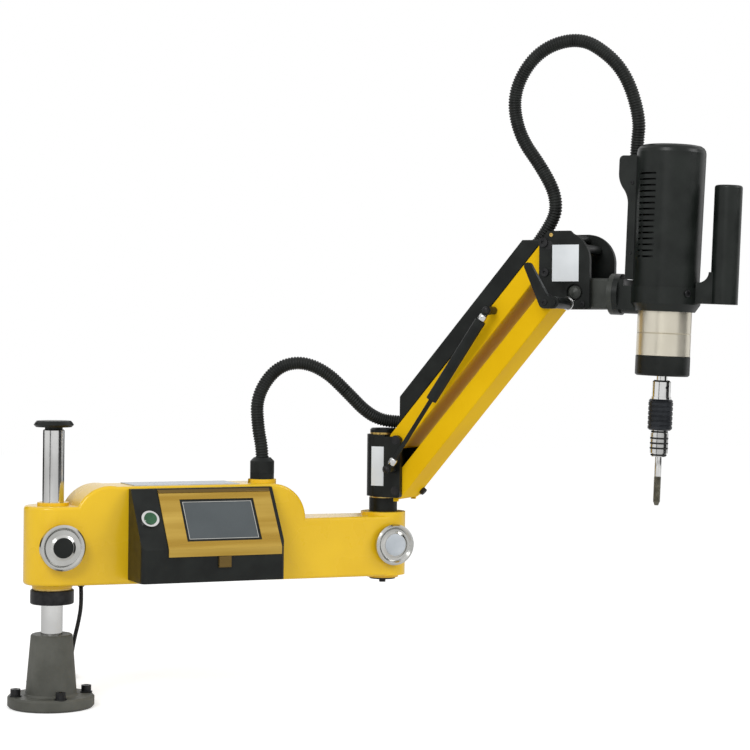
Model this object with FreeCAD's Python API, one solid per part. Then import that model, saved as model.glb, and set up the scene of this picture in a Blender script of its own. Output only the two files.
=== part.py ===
import FreeCAD, Part
import math
import os

from FreeCAD import Placement, Rotation, Vector

os.makedirs("parts", exist_ok=True)

# Arm tapping machine. Origin: centre of the base's underside. +X runs along the main arm, +Z is up.
# The second arm and the head are drawn in the arm's own plane: x outwards from the post's axis,
# y across the arm (the front is at minus y), z up. They are then swung to their rest angle.

# Clearances shared by the whole machine
fit_gap = 0.05
seat_gap = 0.3
overrun = 5.0

# Column and base
column_radius = 14.0
column_top = 359.5
column_chamfer = 1.2
base_radius = 56.0
base_thickness = 15.5
base_edge = 2.5
base_floor = 8.0
cone_foot_radius = 33.0
cone_top_radius = 27.0
cone_top = 94.0
cone_edge = 1.5
bolt_circle_radius = 47.0
bolt_count = 4
bolt_shank_radius = 4.0
bolt_hole_gap = 0.5
bolt_head_radius = 6.5
bolt_head_height = 8.0
bolt_washer_radius = 8.0
bolt_washer_thickness = 1.6
bolt_socket_across = 6.0
bolt_socket_depth = 4.5
cap_radius = 26.0
cap_neck_radius = 11.5
cap_neck_height = 3.0
cap_rim_height = 6.0
cap_crown_height = 2.5
cap_crown_share = 0.85
cap_spigot_radius = 6.0
cap_spigot_length = 16.0

# Height collar under the main arm
collar_radius = 28.2
collar_bottom = 133.5
collar_height = 18.5
collar_edge = 1.2
collar_screw_radius = 3.0
collar_screw_depth_share = 0.92
washer_radius = 25.0
washer_thickness = 2.0

# Main arm casting
arm_length = 470.0
left_hub_radius = 37.5
left_hub_top = 261.0
arm_bottom = 159.0
left_boss_radius = 26.0
left_ring_radius = 20.5
left_ring_height = 4.0
right_hub_radius = 31.0
right_hub_top = 243.0
right_hub_bottom = 156.0
right_boss_radius = 22.0
right_boss_height = 4.0
body_start = 24.0
body_top = 286.0
body_rise_length = 52.0
body_flat_end = 291.0
body_fall_length = 49.0
body_straight_end = 300.0
neck_top = 238.5
casting_wall = 8.0
casting_edge = 4.0
hub_round_start = 480.0
body_round_width = 25.0
pocket_start = 97.0
pocket_end = 280.0
strip_start = 100.0
strip_end = 246.0
strip_half_width = 31.0
strip_thickness = 1.0
left_bush_wall = 3.0
left_bush_length = 30.0
right_bush_wall = 3.0
right_bush_length = 24.0
arc_bulge_share = 0.2071

# Clamp knobs at both hubs
column_knob_height = 210.0
column_knob_radius = 29.5
column_knob_reach = 55.0
column_knob_depth = 12.0
column_knob_boss_radius = 25.0
column_knob_cap_radius = 13.6
post_knob_height = 199.5
post_knob_radius = 28.0
post_knob_reach = 44.5
post_knob_depth = 9.5
post_knob_boss_radius = 22.0
post_knob_cap_radius = 15.5
knob_rim = 3.6
knob_dish = 3.0
knob_edge = 2.2
knob_cap_height = 1.8
knob_stud_radius = 5.0

# Control console
console_start = 90.5
console_end = 286.5
console_top = 283.0
console_bottom = 165.0
console_crease = 208.0
console_top_depth = 8.0
console_depth = 60.0
console_wall = 3.0
console_edge = 7.0
bezel_start = 126.0
bezel_end = 281.0
bezel_thickness = 1.6
bezel_top_inset = 2.5
bezel_lip = 9.5
screen_start = 153.0
screen_end = 255.5
screen_low = 10.5
screen_high = 73.5
screen_recess = 1.2
screen_thickness = 8.0
button_x = 108.5
button_height = 45.0
button_ring_radius = 11.8
button_ring_height = 3.2
button_barrel_radius = 9.6
button_barrel_length = 18.0
button_cap_radius = 8.4
button_cap_rise = 4.6
button_cap_length = 9.0
button_travel = 2.5
latch_start = 193.5
latch_end = 210.5
latch_top = 198.0
latch_height = 14.5
latch_thickness = 4.0
board_inset = 12.0
board_thickness = 2.0
board_standoff_radius = 3.5
board_block_height = 22.0
board_block_share = 0.55

# Hose gland on the main arm
gland_x = 288.0
gland_y = -4.0
gland_boss_radius = 19.0
gland_boss_top = 291.0
gland_hex_across = 30.0
gland_hex_height = 8.0
gland_nut_radius = 16.3
gland_nut_edge = 5.0
gland_seat_depth = 8.0

# Post and knuckle, in the second arm's plane
rest_swing = -49.0
post_radius = 19.5
post_spigot_radius = 15.0
post_spindle_radius = 11.0
post_shoulder_gap = 0.4
knuckle_over_pivot = 6.0
knuckle_under_pivot = 9.5
knuckle_radius = 23.0
knuckle_front = 33.0
knuckle_back = 42.0
knuckle_throat = 16.5
knuckle_washer_thickness = 2.5
knuckle_washer_radius = 19.0
knuckle_cap_height = 6.0
knuckle_cap_radius = 19.0
knuckle_edge = 2.0
cheek_end = 41.0
cheek_thickness = 8.0
cheek_top_drop = 2.0
cheek_edge = 4.0
retaining_screw_radius = 4.5
retaining_screw_head = 5.0
retaining_washer_radius = 18.0
retaining_washer_thickness = 2.0

# Parallel links
pivot_reach = 33.5
upper_pivot_height = 344.0
pivot_spacing = 70.0
link_length = 344.0
link_rise = 50.2
link_front = 27.0
link_back = 36.0
link_wall = 4.0
upper_link_low = 12.0
upper_link_high = 13.0
lower_link_low = 10.2
lower_link_high = 14.8
lower_web_start = 8.0
lower_foot_back = 5.5
lower_foot_front = 0.8
lower_foot_drop = 15.0
lower_foot_cut = 6.0
link_edge = 2.0
link_side_gap = 0.5
pin_radius = 6.0
open_pivot_gap = 0.6
hose_anchor_start = 46.0
hose_anchor_length = 8.0
hose_anchor_rise = 35.0
hose_mouth_radius = 10.0
hose_mouth_height = 23.0
hose_anchor_half_width = 12.0
hose_exit_back = 34.0
hose_exit_rise = 24.0
bumper_radius = 5.0
bumper_height = 5.0
bumper_reach = 6.0

# Cable cover on the upper link
cover_rise = 36.5
cover_start = 36.0
cover_wall = 2.0
cover_end_gap = 16.7
cover_top_rise = 7.7
cover_side_gap = 0.2

# Gas spring in front of the links
spring_plane = 50.0
spring_foot_x = 30.0
spring_foot_drop = 39.5
spring_head_along = 225.67
spring_head_above = 6.44
spring_stud_radius = 5.5
spring_end_radius = 6.5
spring_end_thickness = 9.0
spring_tube_radius = 7.5
spring_tube_wall = 1.2
spring_tube_length = 128.0
spring_ferrule_length = 17.0
spring_ferrule_radius = 4.4
spring_rod_radius = 3.0
spring_piston_length = 8.0
spring_rod_inside = 34.0
spring_rod_collar = 12.0
spring_gland_length = 9.0

# Head bracket, drawn about the upper link's end pin and carried by it
drawn_pivot_x = 253.698
drawn_pivot_height = 608.29
plate_front = 28.0
plate_back = 37.0
front_plate_thickness = 7.0
rear_plate_thickness = 8.0
plate_left = 240.4
plate_bottom = 524.5
plate_top = 627.0
plate_corner = 7.0
front_shoulder = 287.0
front_shoulder_drop = 4.0
front_slant_x = 252.0
front_slant_z = 610.0
front_right = 311.0
front_curve_end = 587.0
front_curve_x = 302.3
front_curve_z = 611.5
rear_left = 258.0
rear_shoulder = 285.0
rear_right = 321.5
rear_curve_end = 583.0
rear_top = 625.5
bar_radius = 6.0
bar_places = ((282.0, 617.0), (298.0, 603.5), (276.0, 580.0))
screw_head_radius = 5.5
screw_head_height = 3.0
screw_shank_radius = 3.0
screw_socket_across = 4.0
screw_socket_depth = 2.0
plate_screw_x = 249.0
plate_screw_z = 572.0
corner_screw_x = 246.5
corner_screw_z = 611.6
corner_screw_share = 1.15
small_screw_x = 301.5
small_screw_z = 530.0
small_screw_share = 0.65
tilt_x = 290.5
tilt_z = 545.5
tilt_hole_radius = 11.2
tilt_dome_radius = 8.7
tilt_dome_rise = 5.0
tilt_dome_share = 0.55
tilt_trunnion_radius = 7.0
lever_x = 281.5
lever_z = 530.8
lever_hub_radius = 7.4
lever_ring_radius = 8.2
lever_ring_thickness = 2.5
lever_stand_off = 58.0
lever_thickness = 8.0
lever_root_radius = 8.0
lever_heel_reach = 11.6
lever_tip_x = 246.3
lever_tip_z = 577.8
lever_tip_radius = 5.0
lever_screw_radius = 4.5
lever_screw_height = 2.0

# Tilt block and roll flange
tilt_block_start = 276.0
tilt_block_end = 331.0
tilt_block_half_height = 20.0
tilt_block_half_width = 22.0
tilt_block_edge = 3.0
flange_radius = 27.2
flange_thickness = 7.0
roll_spigot_radius = 11.0
roll_spigot_length = 14.0
roll_web_half_width = 21.0

# Motor head
tool_x = 404.0
head_lean = 2.0
motor_radius = 45.0
motor_foot_radius = 43.4
motor_bottom = 557.0
motor_top = 742.0
motor_wall = 4.0
motor_crown = 10.0
ring_radius = 45.6
ring_bottom = 535.0
nose_bottom = 525.0
nose_radius = 39.0
bracket_floor = 6.0
lobe_radius = 15.0
lobe_drop = 5.0
vent_count = 15
vent_first = 594.0
vent_pitch = 7.7
vent_height = 2.4
vent_half_angle = 18.0
vent_direction = -116.0
vent_depth = 6.0
servo_radius = 34.0
servo_clearance = 10.0
servo_shaft_radius = 7.0
side_cover_front_width = 17.0
side_cover_back_width = 27.0
side_cover_neck_low = 664.0
side_cover_neck_high = 704.0
side_cover_top = 727.7
side_cover_reach = 338.5
side_cover_waist = 352.5
side_cover_wall = 2.5
side_cover_corner = 6.0
neck_dip_share = 0.13
neck_rise_share = 0.26
handle_reach = 78.2
handle_radius = 18.0
handle_top = 691.0
handle_crown = 3.5
handle_leg_height = 27.0
handle_low = 537.0
handle_leg_half_width = 13.0
handle_fillet = 14.0

# Gearbox, nose ring and chuck
gearbox_radius = 35.2
gearbox_bottom = 466.5
gearbox_seam = 496.5
gearbox_groove = 0.8
gearbox_bore_radius = 20.0
nose_ring_radius = 35.6
nose_ring_height = 25.6
nose_ring_lip = 2.0
spindle_radius = 7.0
spindle_gap_height = 5.8
chuck_radius = 12.0
chuck_height = 21.8
sleeve_radius = 16.0
sleeve_height = 43.7
sleeve_groove_count = 6
sleeve_groove_depth = 0.8
sleeve_groove_share = 0.35
sleeve_travel = 3.0
sleeve_wall = 3.0
collet_radius = 11.6
collet_neck_radius = 10.2
collet_neck_height = 4.0
collet_height = 26.0
collet_groove_count = 3
collet_groove_depth = 0.7
collet_groove_height = 2.6
collet_lip_radius = 9.6
collet_lip_height = 4.5
collet_spigot_radius = 9.0
collet_spigot_length = 24.0
tap_radius = 4.75
tap_length = 64.0
tap_tip_length = 5.0
tap_tip_share = 0.55
tap_thread_length = 38.0
tap_shank_radius = 4.4
tap_seat_length = 18.0

# Hoses
hose_radius = 9.0
hose_groove = 1.1
hose_bore_radius = 6.0
hose_rib_pitch = 3.6
hose_crest_share = 0.45
hose_flank_share = 0.1
arm_hose_route = (
    (288.0, -4.0, 312.0), (288.0, -4.0, 330.0), (283.5, 2.0, 361.0), (283.4, 8.0, 402.1),
    (310.8, 10.5, 440.4), (344.7, 4.0, 450.6), (380.5, -3.0, 437.1), (415.0, -5.0, 405.1),
    (438.7, -4.0, 382.8), (461.5, -3.5, 370.3), (484.76, -16.98, 367.0), (499.98, -34.49, 367.0),
)
head_hose_route = (
    (247.5, 0.0, 638.35), (252.0, 0.0, 673.0), (232.2, 0.0, 711.1), (195.7, 0.0, 760.0), (186.7, 0.0, 818.5),
    (222.2, 0.0, 872.9), (281.7, 0.0, 887.8), (326.1, 0.0, 859.4), (349.5, 5.0, 826.0),
)
head_hose_end = ((354.6, 12.0, 778.0), (351.5, 15.0, 747.0), (351.5, 15.0, 728.0))

# Mains cord
cord_radius = 2.7
cord_route = (
    (37.5, 31.0, 151.0), (38.5, 32.5, 129.0), (35.0, 37.5, 105.0), (29.5, 45.5, 80.0),
    (25.8, 54.5, 56.0), (25.8, 64.0, 33.0), (28.4, 77.0, 11.0), (31.2, 92.0, 2.7), (30.7, 108.0, 2.7),
)
sight_angle = 15.0
coil_along = 108.0
coil_mid_radius = 27.0
coil_step = 5.9
coil_layers = 4
coil_quarters_per_layer = 5
coil_climb_quarters = 2
coil_quarters = 24
tail_route = ((28.6, 134.0, 20.4), (21.0, 158.0, 10.2), (14.0, 178.0, 8.6), (14.0, 194.0, 8.6))
plug_neck_length = 16.0
plug_neck_radius = 4.6
plug_length = 34.0
plug_half_width = 16.0
plug_half_height = 8.4
plug_edge = 4.0
plug_pin_radius = 2.4
plug_pin_length = 19.0
plug_pin_spread = 9.5
grommet_radius = 6.5
grommet_length = 22.0
grommet_tip_radius = 4.0
grommet_taper_share = 0.55

UP = Vector(0, 0, 1)
DOWN = Vector(0, 0, -1)
FRONT = Vector(0, -1, 0)
BACK = Vector(0, 1, 0)
OUT = Vector(1, 0, 0)


def save(name, *solids):
    shape = solids[0] if len(solids) == 1 else Part.makeCompound(list(solids))
    shape.exportStep("parts/" + name + ".step")


def swung(shape):
    placed = shape.copy()
    placed.Placement = Placement(Vector(arm_length, 0, 0), Rotation(UP, rest_swing)).multiply(placed.Placement)
    return placed


def save_swung(name, *solids):
    save(name, *[swung(solid) for solid in solids])


def leaned(shape):
    """Turns a part of the head about the tilt pivot by the small lean it has at rest."""
    pivot = Vector(tilt_x, 0, tilt_z)
    turn = Rotation(BACK, head_lean)
    placed = shape.copy()
    placed.Placement = Placement(pivot - turn.multVec(pivot), turn).multiply(placed.Placement)
    return placed


def carried(shape):
    """Moves a part of the bracket or the head, drawn about the drawn pivot, to the upper link's end."""
    x, z = link_point(link_length, 0, upper_pivot_height)
    placed = shape.copy()
    placed.translate(Vector(x - drawn_pivot_x, 0, z - drawn_pivot_height))
    return placed


def save_bracket(name, *solids):
    save_swung(name, *[carried(solid) for solid in solids])


def save_head(name, *solids):
    save_bracket(name, *[leaned(solid) for solid in solids])


def box(x0, x1, y0, y1, z0, z1):
    return Part.makeBox(x1 - x0, y1 - y0, z1 - z0, Vector(x0, y0, z0))


def rod(radius, length, at, along=UP):
    return Part.makeCylinder(radius, length, at, along)


def drilled(shape, radius, length, at, along=UP):
    return shape.cut(rod(radius, length, at, along))


def turned(profile, at=Vector(0, 0, 0), along=UP):
    """A turned solid from (radius, height) pairs that start and end on the axis."""
    points = [Vector(radius, 0, height) for radius, height in profile]
    face = Part.Face(Part.makePolygon(points + [points[0]]))
    solid = face.revolve(Vector(0, 0, 0), UP, 360)
    solid.Placement = Placement(at, Rotation(UP, along))
    return solid


def face_of(outline):
    """A face from an outline of points. An arc is the word 'arc', its middle point and its end point."""
    edges, here, index = [], outline[0], 1
    while index < len(outline):
        if outline[index] == "arc":
            middle, end = outline[index + 1], outline[index + 2]
            edges.append(Part.Arc(here, middle, end).toShape())
            index += 3
        else:
            end = outline[index]
            edges.append(Part.LineSegment(here, end).toShape())
            index += 1
        here = end
    if (here - outline[0]).Length > fit_gap:
        edges.append(Part.LineSegment(here, outline[0]).toShape())
    return Part.Face(Part.Wire(edges))


def side_plate(outline, y0, y1):
    """A solid from an outline of (x, z) pairs, from y0 to y1."""
    points = [item if item == "arc" else Vector(item[0], y0, item[1]) for item in outline]
    return face_of(points).extrude(Vector(0, y1 - y0, 0))


def hexagon(across, height, at):
    corner = across / math.sqrt(3)
    points = [at + Vector(corner * math.cos(k * math.pi / 3), corner * math.sin(k * math.pi / 3), 0)
              for k in range(6)]
    return Part.Face(Part.makePolygon(points + [points[0]])).extrude(Vector(0, 0, height))


def plan_hull(x0, r0, x1, r1, z0, z1):
    """Two round ends joined by straight sides, seen from above."""
    lean = (r0 - r1) / (x1 - x0)
    side = math.sqrt(1 - lean * lean)
    first = Vector(x0 + r0 * lean, r0 * side, z0)
    last = Vector(x1 + r1 * lean, r1 * side, z0)
    face = face_of([
        first, last,
        "arc", Vector(x1 + r1, 0, z0), Vector(last.x, -last.y, z0),
        Vector(first.x, -first.y, z0),
        "arc", Vector(x0 - r0, 0, z0), first,
    ])
    return face.extrude(Vector(0, 0, z1 - z0))


def edges_where(shape, test):
    return [edge for edge in shape.Edges if test(edge)]


def flat_at(edge, height):
    box_of = edge.BoundBox
    return abs(box_of.ZMin - height) < fit_gap and abs(box_of.ZMax - height) < fit_gap


# Column, base and its bolts

def base():
    body = turned([
        (0, 0), (base_radius - base_edge, 0), (base_radius, base_edge),
        (base_radius, base_thickness - base_edge), (base_radius - base_edge, base_thickness),
        (cone_foot_radius + base_edge, base_thickness), (cone_foot_radius, base_thickness + base_edge),
        (cone_top_radius, cone_top - cone_edge), (cone_top_radius - cone_edge, cone_top), (0, cone_top),
    ])
    body = drilled(body, column_radius + fit_gap, cone_top, Vector(0, 0, base_floor))
    for centre in bolt_centres():
        body = drilled(body, bolt_shank_radius + bolt_hole_gap, base_thickness + overrun, centre - UP * overrun)
    return body


def bolt_centres():
    turn = 2 * math.pi / bolt_count
    return [Vector(bolt_circle_radius * math.cos(k * turn), bolt_circle_radius * math.sin(k * turn), 0)
            for k in range(bolt_count)]


def socket_screw(at, along, shank_radius, shank_length, head_radius, head_height, across, depth):
    """A socket-head screw whose head seats at 'at' and stands out along 'along'."""
    foot = Vector(0, 0, 0)
    screw = rod(head_radius, head_height, foot).fuse(rod(shank_radius, shank_length, foot, DOWN))
    screw = screw.cut(hexagon(across, depth + overrun, Vector(0, 0, head_height - depth))).removeSplitter()
    screw.Placement = Placement(at, Rotation(UP, along))
    return screw


def base_bolts():
    bolts = []
    for centre in bolt_centres():
        seat = centre + UP * (base_thickness + bolt_washer_thickness)
        bolt = socket_screw(seat, UP, bolt_shank_radius, base_thickness, bolt_head_radius, bolt_head_height,
                            bolt_socket_across, bolt_socket_depth)
        washer = rod(bolt_washer_radius, bolt_washer_thickness, seat, DOWN)
        bolts.append(bolt.fuse(washer).removeSplitter())
    return bolts


def column():
    bar = turned([
        (0, base_floor), (column_radius, base_floor), (column_radius, column_top - column_chamfer),
        (column_radius - column_chamfer, column_top), (0, column_top),
    ])
    mouth = Vector(0, 0, column_top + overrun)
    return drilled(bar, cap_spigot_radius + fit_gap, cap_spigot_length + overrun, mouth, DOWN)


def column_cap():
    rim_low = column_top + cap_neck_height
    rim_top = rim_low + cap_rim_height
    crown = cap_crown_share * cap_radius
    top = rim_top + cap_crown_height
    spigot_foot = column_top - cap_spigot_length + overrun
    return turned([
        (0, spigot_foot), (cap_spigot_radius, spigot_foot), (cap_spigot_radius, column_top),
        (cap_neck_radius, column_top), (cap_neck_radius, rim_low),
        (cap_radius - cap_rim_height / 2, rim_low), (cap_radius, rim_low + cap_rim_height / 2),
        (cap_radius - cap_rim_height / 3, rim_top), (crown, top - cap_crown_height / 8), (0, top),
    ])


# Height collar

def height_collar():
    low, high = collar_bottom, collar_bottom + collar_height
    body = turned([
        (0, low), (collar_radius - collar_edge, low), (collar_radius, low + collar_edge),
        (collar_radius, high - collar_edge), (collar_radius - collar_edge, high), (0, high),
    ])
    body = drilled(body, column_radius + fit_gap, high - low + 2 * overrun, Vector(0, 0, low - overrun))
    middle = Vector(0, 0, collar_bottom + collar_height / 2)
    return drilled(body, collar_screw_radius + fit_gap, collar_radius + overrun, middle, BACK)


def collar_screw():
    room = collar_radius - column_radius - seat_gap
    start = Vector(0, column_radius + seat_gap, collar_bottom + collar_height / 2)
    return rod(collar_screw_radius, room * collar_screw_depth_share, start, BACK)


def thrust_washer():
    low = Vector(0, 0, collar_bottom + collar_height)
    ring = rod(washer_radius, washer_thickness, low)
    return drilled(ring, column_radius + seat_gap, washer_thickness + 2 * overrun, low - UP * overrun)


# Main arm

def arm_outline():
    rise_end = body_start + body_rise_length
    fall_end = body_flat_end + body_fall_length
    rise = body_top - left_hub_top
    fall = body_top - neck_top
    return [
        (-left_hub_radius, arm_bottom), (-left_hub_radius, left_hub_top), (body_start, left_hub_top),
        "arc",
        (body_start + body_rise_length * (0.5 - arc_bulge_share),
         left_hub_top + rise * (0.5 + arc_bulge_share)),
        (rise_end, body_top),
        (body_flat_end, body_top),
        "arc",
        (body_flat_end + body_fall_length * (0.5 + arc_bulge_share), neck_top + fall * (0.5 + arc_bulge_share)),
        (fall_end, neck_top),
        (arm_length + right_hub_radius, neck_top), (arm_length + right_hub_radius, right_hub_bottom),
        (arm_length - right_hub_radius, right_hub_bottom), (left_hub_radius, arm_bottom),
    ]


def arm_casting():
    low, high = right_hub_bottom - overrun, body_top + overrun
    plan = plan_hull(0, left_hub_radius, body_straight_end, left_hub_radius - fit_gap, low, high)
    plan = plan.fuse(plan_hull(body_straight_end, left_hub_radius, arm_length, right_hub_radius, low, high))
    width = left_hub_radius + overrun
    body = side_plate(arm_outline(), -width, width).common(plan).removeSplitter()
    body = body.makeFillet(casting_edge, edges_where(body, on_arm_rim))
    right_foot = Vector(arm_length, 0, right_hub_bottom)
    body = body.fuse(rod(right_hub_radius, right_hub_top - right_hub_bottom, right_foot))
    bores_from = collar_bottom + collar_height + washer_thickness
    body = body.fuse(rod(left_boss_radius, arm_bottom - bores_from + overrun, Vector(0, 0, bores_from)))
    body = body.fuse(rod(left_ring_radius, left_ring_height + overrun, Vector(0, 0, left_hub_top - overrun)))
    body = body.fuse(rod(right_boss_radius, right_boss_height + overrun,
                         Vector(arm_length, 0, right_hub_bottom - right_boss_height)))
    body = body.fuse(rod(gland_boss_radius, gland_boss_top - body_top + overrun,
                         Vector(gland_x, gland_y, body_top - overrun)))
    for x, z, radius, reach in (
        (0, column_knob_height, column_knob_boss_radius, column_knob_reach - column_knob_depth),
        (arm_length, post_knob_height, post_knob_boss_radius, post_knob_reach - post_knob_depth),
    ):
        body = body.fuse(rod(radius, reach - seat_gap, Vector(x, 0, z), FRONT))
    body = body.removeSplitter()
    tall = body_top + 2 * overrun
    body = drilled(body, left_bore_radius(), tall, Vector(0, 0, 0))
    body = drilled(body, right_bore_radius(), tall, Vector(arm_length, 0, 0))
    body = body.cut(box(pocket_start, pocket_end, -left_hub_radius - overrun, left_hub_radius - casting_wall,
                        arm_bottom + casting_wall, body_top - casting_wall))
    body = drilled(body, knob_stud_radius + fit_gap, tall, Vector(0, 0, column_knob_height), FRONT)
    body = drilled(body, knob_stud_radius + fit_gap, tall, Vector(arm_length, 0, post_knob_height), FRONT)
    wiring_hole = Vector(gland_x - gland_hex_across / 2, gland_y, body_top - casting_wall - overrun)
    body = drilled(body, hose_bore_radius, casting_wall + gland_boss_top, wiring_hole)
    exit_point = cord_points()[0]
    return drilled(body, grommet_tip_radius + fit_gap, grommet_length,
                   Vector(exit_point.x, exit_point.y, arm_bottom - overrun))


def on_arm_rim(edge):
    """The long edges and the hubs' rims, without the short upright edges where the hulls meet."""
    middle = edge.valueAt((edge.FirstParameter + edge.LastParameter) / 2)
    outer = abs(middle.y) > body_round_width or middle.x < -left_ring_radius or middle.x > hub_round_start
    upright = edge.BoundBox.ZLength > pocket_start / 2 and edge.BoundBox.XLength < 1
    return outer and not upright


def arm_underside(x):
    """The height of the arm's underside, which slopes down from the column hub to the post hub."""
    run = arm_length - right_hub_radius - left_hub_radius
    return arm_bottom - (arm_bottom - right_hub_bottom) * (x - left_hub_radius) / run


def left_bore_radius():
    return column_radius + fit_gap + left_bush_wall


def right_bore_radius():
    return post_spigot_radius + fit_gap + right_bush_wall


def bush(x, low, inner, wall, length):
    at = Vector(x, 0, low)
    return drilled(rod(inner + wall - fit_gap, length, at), inner, length + 2 * overrun, at - UP * overrun)


def arm_bushes():
    inner_left = column_radius + fit_gap
    inner_right = post_spigot_radius + fit_gap
    left_top = left_hub_top + left_ring_height
    return [
        bush(0, arm_bottom, inner_left, left_bush_wall, left_bush_length),
        bush(0, left_top - left_bush_length, inner_left, left_bush_wall, left_bush_length),
        bush(arm_length, right_hub_bottom, inner_right, right_bush_wall, right_bush_length),
        bush(arm_length, right_hub_top - right_bush_length, inner_right, right_bush_wall, right_bush_length),
    ]


def clamp_knob(x, height, reach, depth, radius, cap_radius, shaft_radius):
    """A turned knob with a raised rim, a dished face and a threaded stud that presses on the shaft."""
    back = reach - depth
    stud = back - shaft_radius - seat_gap
    rim, dish = radius - knob_rim, depth - knob_dish
    seat, floor = cap_radius + fit_gap, dish - knob_cap_height
    knob = turned([
        (0, -stud), (knob_stud_radius, -stud), (knob_stud_radius, 0), (radius - knob_edge, 0),
        (radius, knob_edge), (radius, depth - knob_edge), (radius - knob_edge, depth), (rim, depth),
        (rim - knob_dish, dish), (cap_radius + knob_dish, dish), (seat, depth - knob_dish / 2),
        (seat, floor), (0, floor),
    ], Vector(x, -back, height), FRONT)
    return [knob, knob_cap(x, height, reach, cap_radius)]


def knob_cap(x, height, reach, cap_radius):
    seat = Vector(x, knob_dish + knob_cap_height - reach, height)
    return rod(cap_radius, knob_cap_height + knob_dish / 2, seat, FRONT)


# Control console, drawn in its own section: y is the reach in front of the arm, z is up

def console_lean():
    return math.atan2(console_depth - console_top_depth, console_top - console_crease)


def on_slope(x, along, lift):
    """A point on the sloping face: 'along' up from the crease, 'lift' out of the face."""
    lean = console_lean()
    y = -(left_hub_radius + console_depth) + along * math.sin(lean) - lift * math.cos(lean)
    z = console_crease + along * math.cos(lean) + lift * math.sin(lean)
    return Vector(x, y, z)


def slope_normal():
    return on_slope(0, 0, 1) - on_slope(0, 0, 0)


def slope_box(x0, x1, along0, along1, lift0, lift1):
    points = [on_slope(x0, along0, lift0), on_slope(x0, along1, lift0),
              on_slope(x0, along1, lift1), on_slope(x0, along0, lift1)]
    return Part.Face(Part.makePolygon(points + [points[0]])).extrude(Vector(x1 - x0, 0, 0))


def console_section(inset):
    """The console's section, all faces but the open back moved in by 'inset'."""
    lean = console_lean()
    front = -(left_hub_radius + console_depth) + inset
    crease = on_slope(0, 0, -inset)
    crease_z = crease.z + (front - crease.y) / math.tan(lean)
    top = console_top - inset
    top_y = front + (top - crease_z) * math.tan(lean)
    bottom = console_bottom + inset
    return [Vector(0, -left_hub_radius, bottom), Vector(0, front, bottom), Vector(0, front, crease_z),
            Vector(0, top_y, top), Vector(0, -left_hub_radius, top)]


def console_prism(inset, x0, x1):
    points = [Vector(x0, p.y, p.z) for p in console_section(inset)]
    return Part.Face(Part.makePolygon(points + [points[0]])).extrude(Vector(x1 - x0, 0, 0))


def control_housing():
    outer = console_prism(0, console_start, console_end)
    low_front = [edge for edge in outer.Edges
                 if edge.BoundBox.YMax < -(left_hub_radius + console_depth) + fit_gap
                 and edge.BoundBox.XLength < fit_gap]
    outer = outer.makeFillet(console_edge, low_front)
    shell = outer.cut(console_prism(console_wall, console_start + console_wall, console_end - console_wall))
    screen = slope_box(screen_start, screen_end, screen_low, screen_high, -screen_thickness, overrun)
    barrel = on_slope(button_x, button_height, -button_barrel_length)
    shell = shell.cut(screen)
    return drilled(shell, button_barrel_radius + fit_gap, 2 * button_barrel_length, barrel, slope_normal())


def control_bezel():
    lean = console_lean()
    reach = (console_top - console_crease) / math.cos(lean) - bezel_top_inset
    front = -(left_hub_radius + console_depth)
    outer_crease = Vector(0, front - bezel_thickness, console_crease + bezel_thickness * math.tan(lean / 2))
    section = [on_slope(0, reach, 0), on_slope(0, reach, bezel_thickness), outer_crease,
               Vector(0, front - bezel_thickness, console_crease - bezel_lip),
               Vector(0, front, console_crease - bezel_lip), Vector(0, front, console_crease)]
    points = [Vector(bezel_start, p.y, p.z) for p in section]
    plate = Part.Face(Part.makePolygon(points + [points[0]])).extrude(Vector(bezel_end - bezel_start, 0, 0))
    return plate.cut(slope_box(screen_start, screen_end, screen_low, screen_high, -overrun, overrun))


def touch_screen():
    return slope_box(screen_start + fit_gap, screen_end - fit_gap, screen_low + fit_gap, screen_high - fit_gap,
                     -screen_thickness, bezel_thickness - screen_recess)


def button_ring():
    along = slope_normal()
    ring = rod(button_ring_radius, button_ring_height, on_slope(button_x, button_height, 0), along)
    ring = ring.fuse(rod(button_barrel_radius, button_barrel_length,
                         on_slope(button_x, button_height, -button_barrel_length), along)).removeSplitter()
    start = on_slope(button_x, button_height, button_cap_rise - button_cap_length - button_travel - seat_gap)
    return drilled(ring, button_cap_radius + fit_gap, button_barrel_length, start, along)


def power_button():
    start = on_slope(button_x, button_height, button_cap_rise - button_cap_length)
    return rod(button_cap_radius, button_cap_length, start, slope_normal())


def panel_latch():
    front = -(left_hub_radius + console_depth)
    body = box(latch_start, latch_end, front - latch_thickness, front, latch_top - latch_height, latch_top)
    lower = [edge for edge in body.Edges if abs(edge.BoundBox.YMin - edge.BoundBox.YMax) < fit_gap
             and abs(edge.BoundBox.YMin - (front - latch_thickness)) < fit_gap]
    return body.makeFillet(latch_thickness / 4, lower)


def arm_top_plate():
    half = strip_half_width
    return box(strip_start, strip_end, -half, half, body_top, body_top + strip_thickness)


def control_board():
    back = left_hub_radius - casting_wall
    x0, x1 = pocket_start + board_inset, pocket_end - board_inset
    z0, z1 = arm_bottom + casting_wall + board_inset, body_top - casting_wall - board_inset
    face = back - board_inset
    board = box(x0, x1, face - board_thickness, face, z0, z1)
    for x in (x0 + board_inset, x1 - board_inset):
        for z in (z0 + board_inset, z1 - board_inset):
            board = board.fuse(rod(board_standoff_radius, board_inset, Vector(x, face, z), BACK))
    middle = x0 + (x1 - x0) * board_block_share
    block = box(x0 + board_inset, middle, face - board_thickness - board_block_height, face - board_thickness,
                z0 + board_inset, z1 - board_inset)
    return board.fuse(block).removeSplitter()


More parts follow.
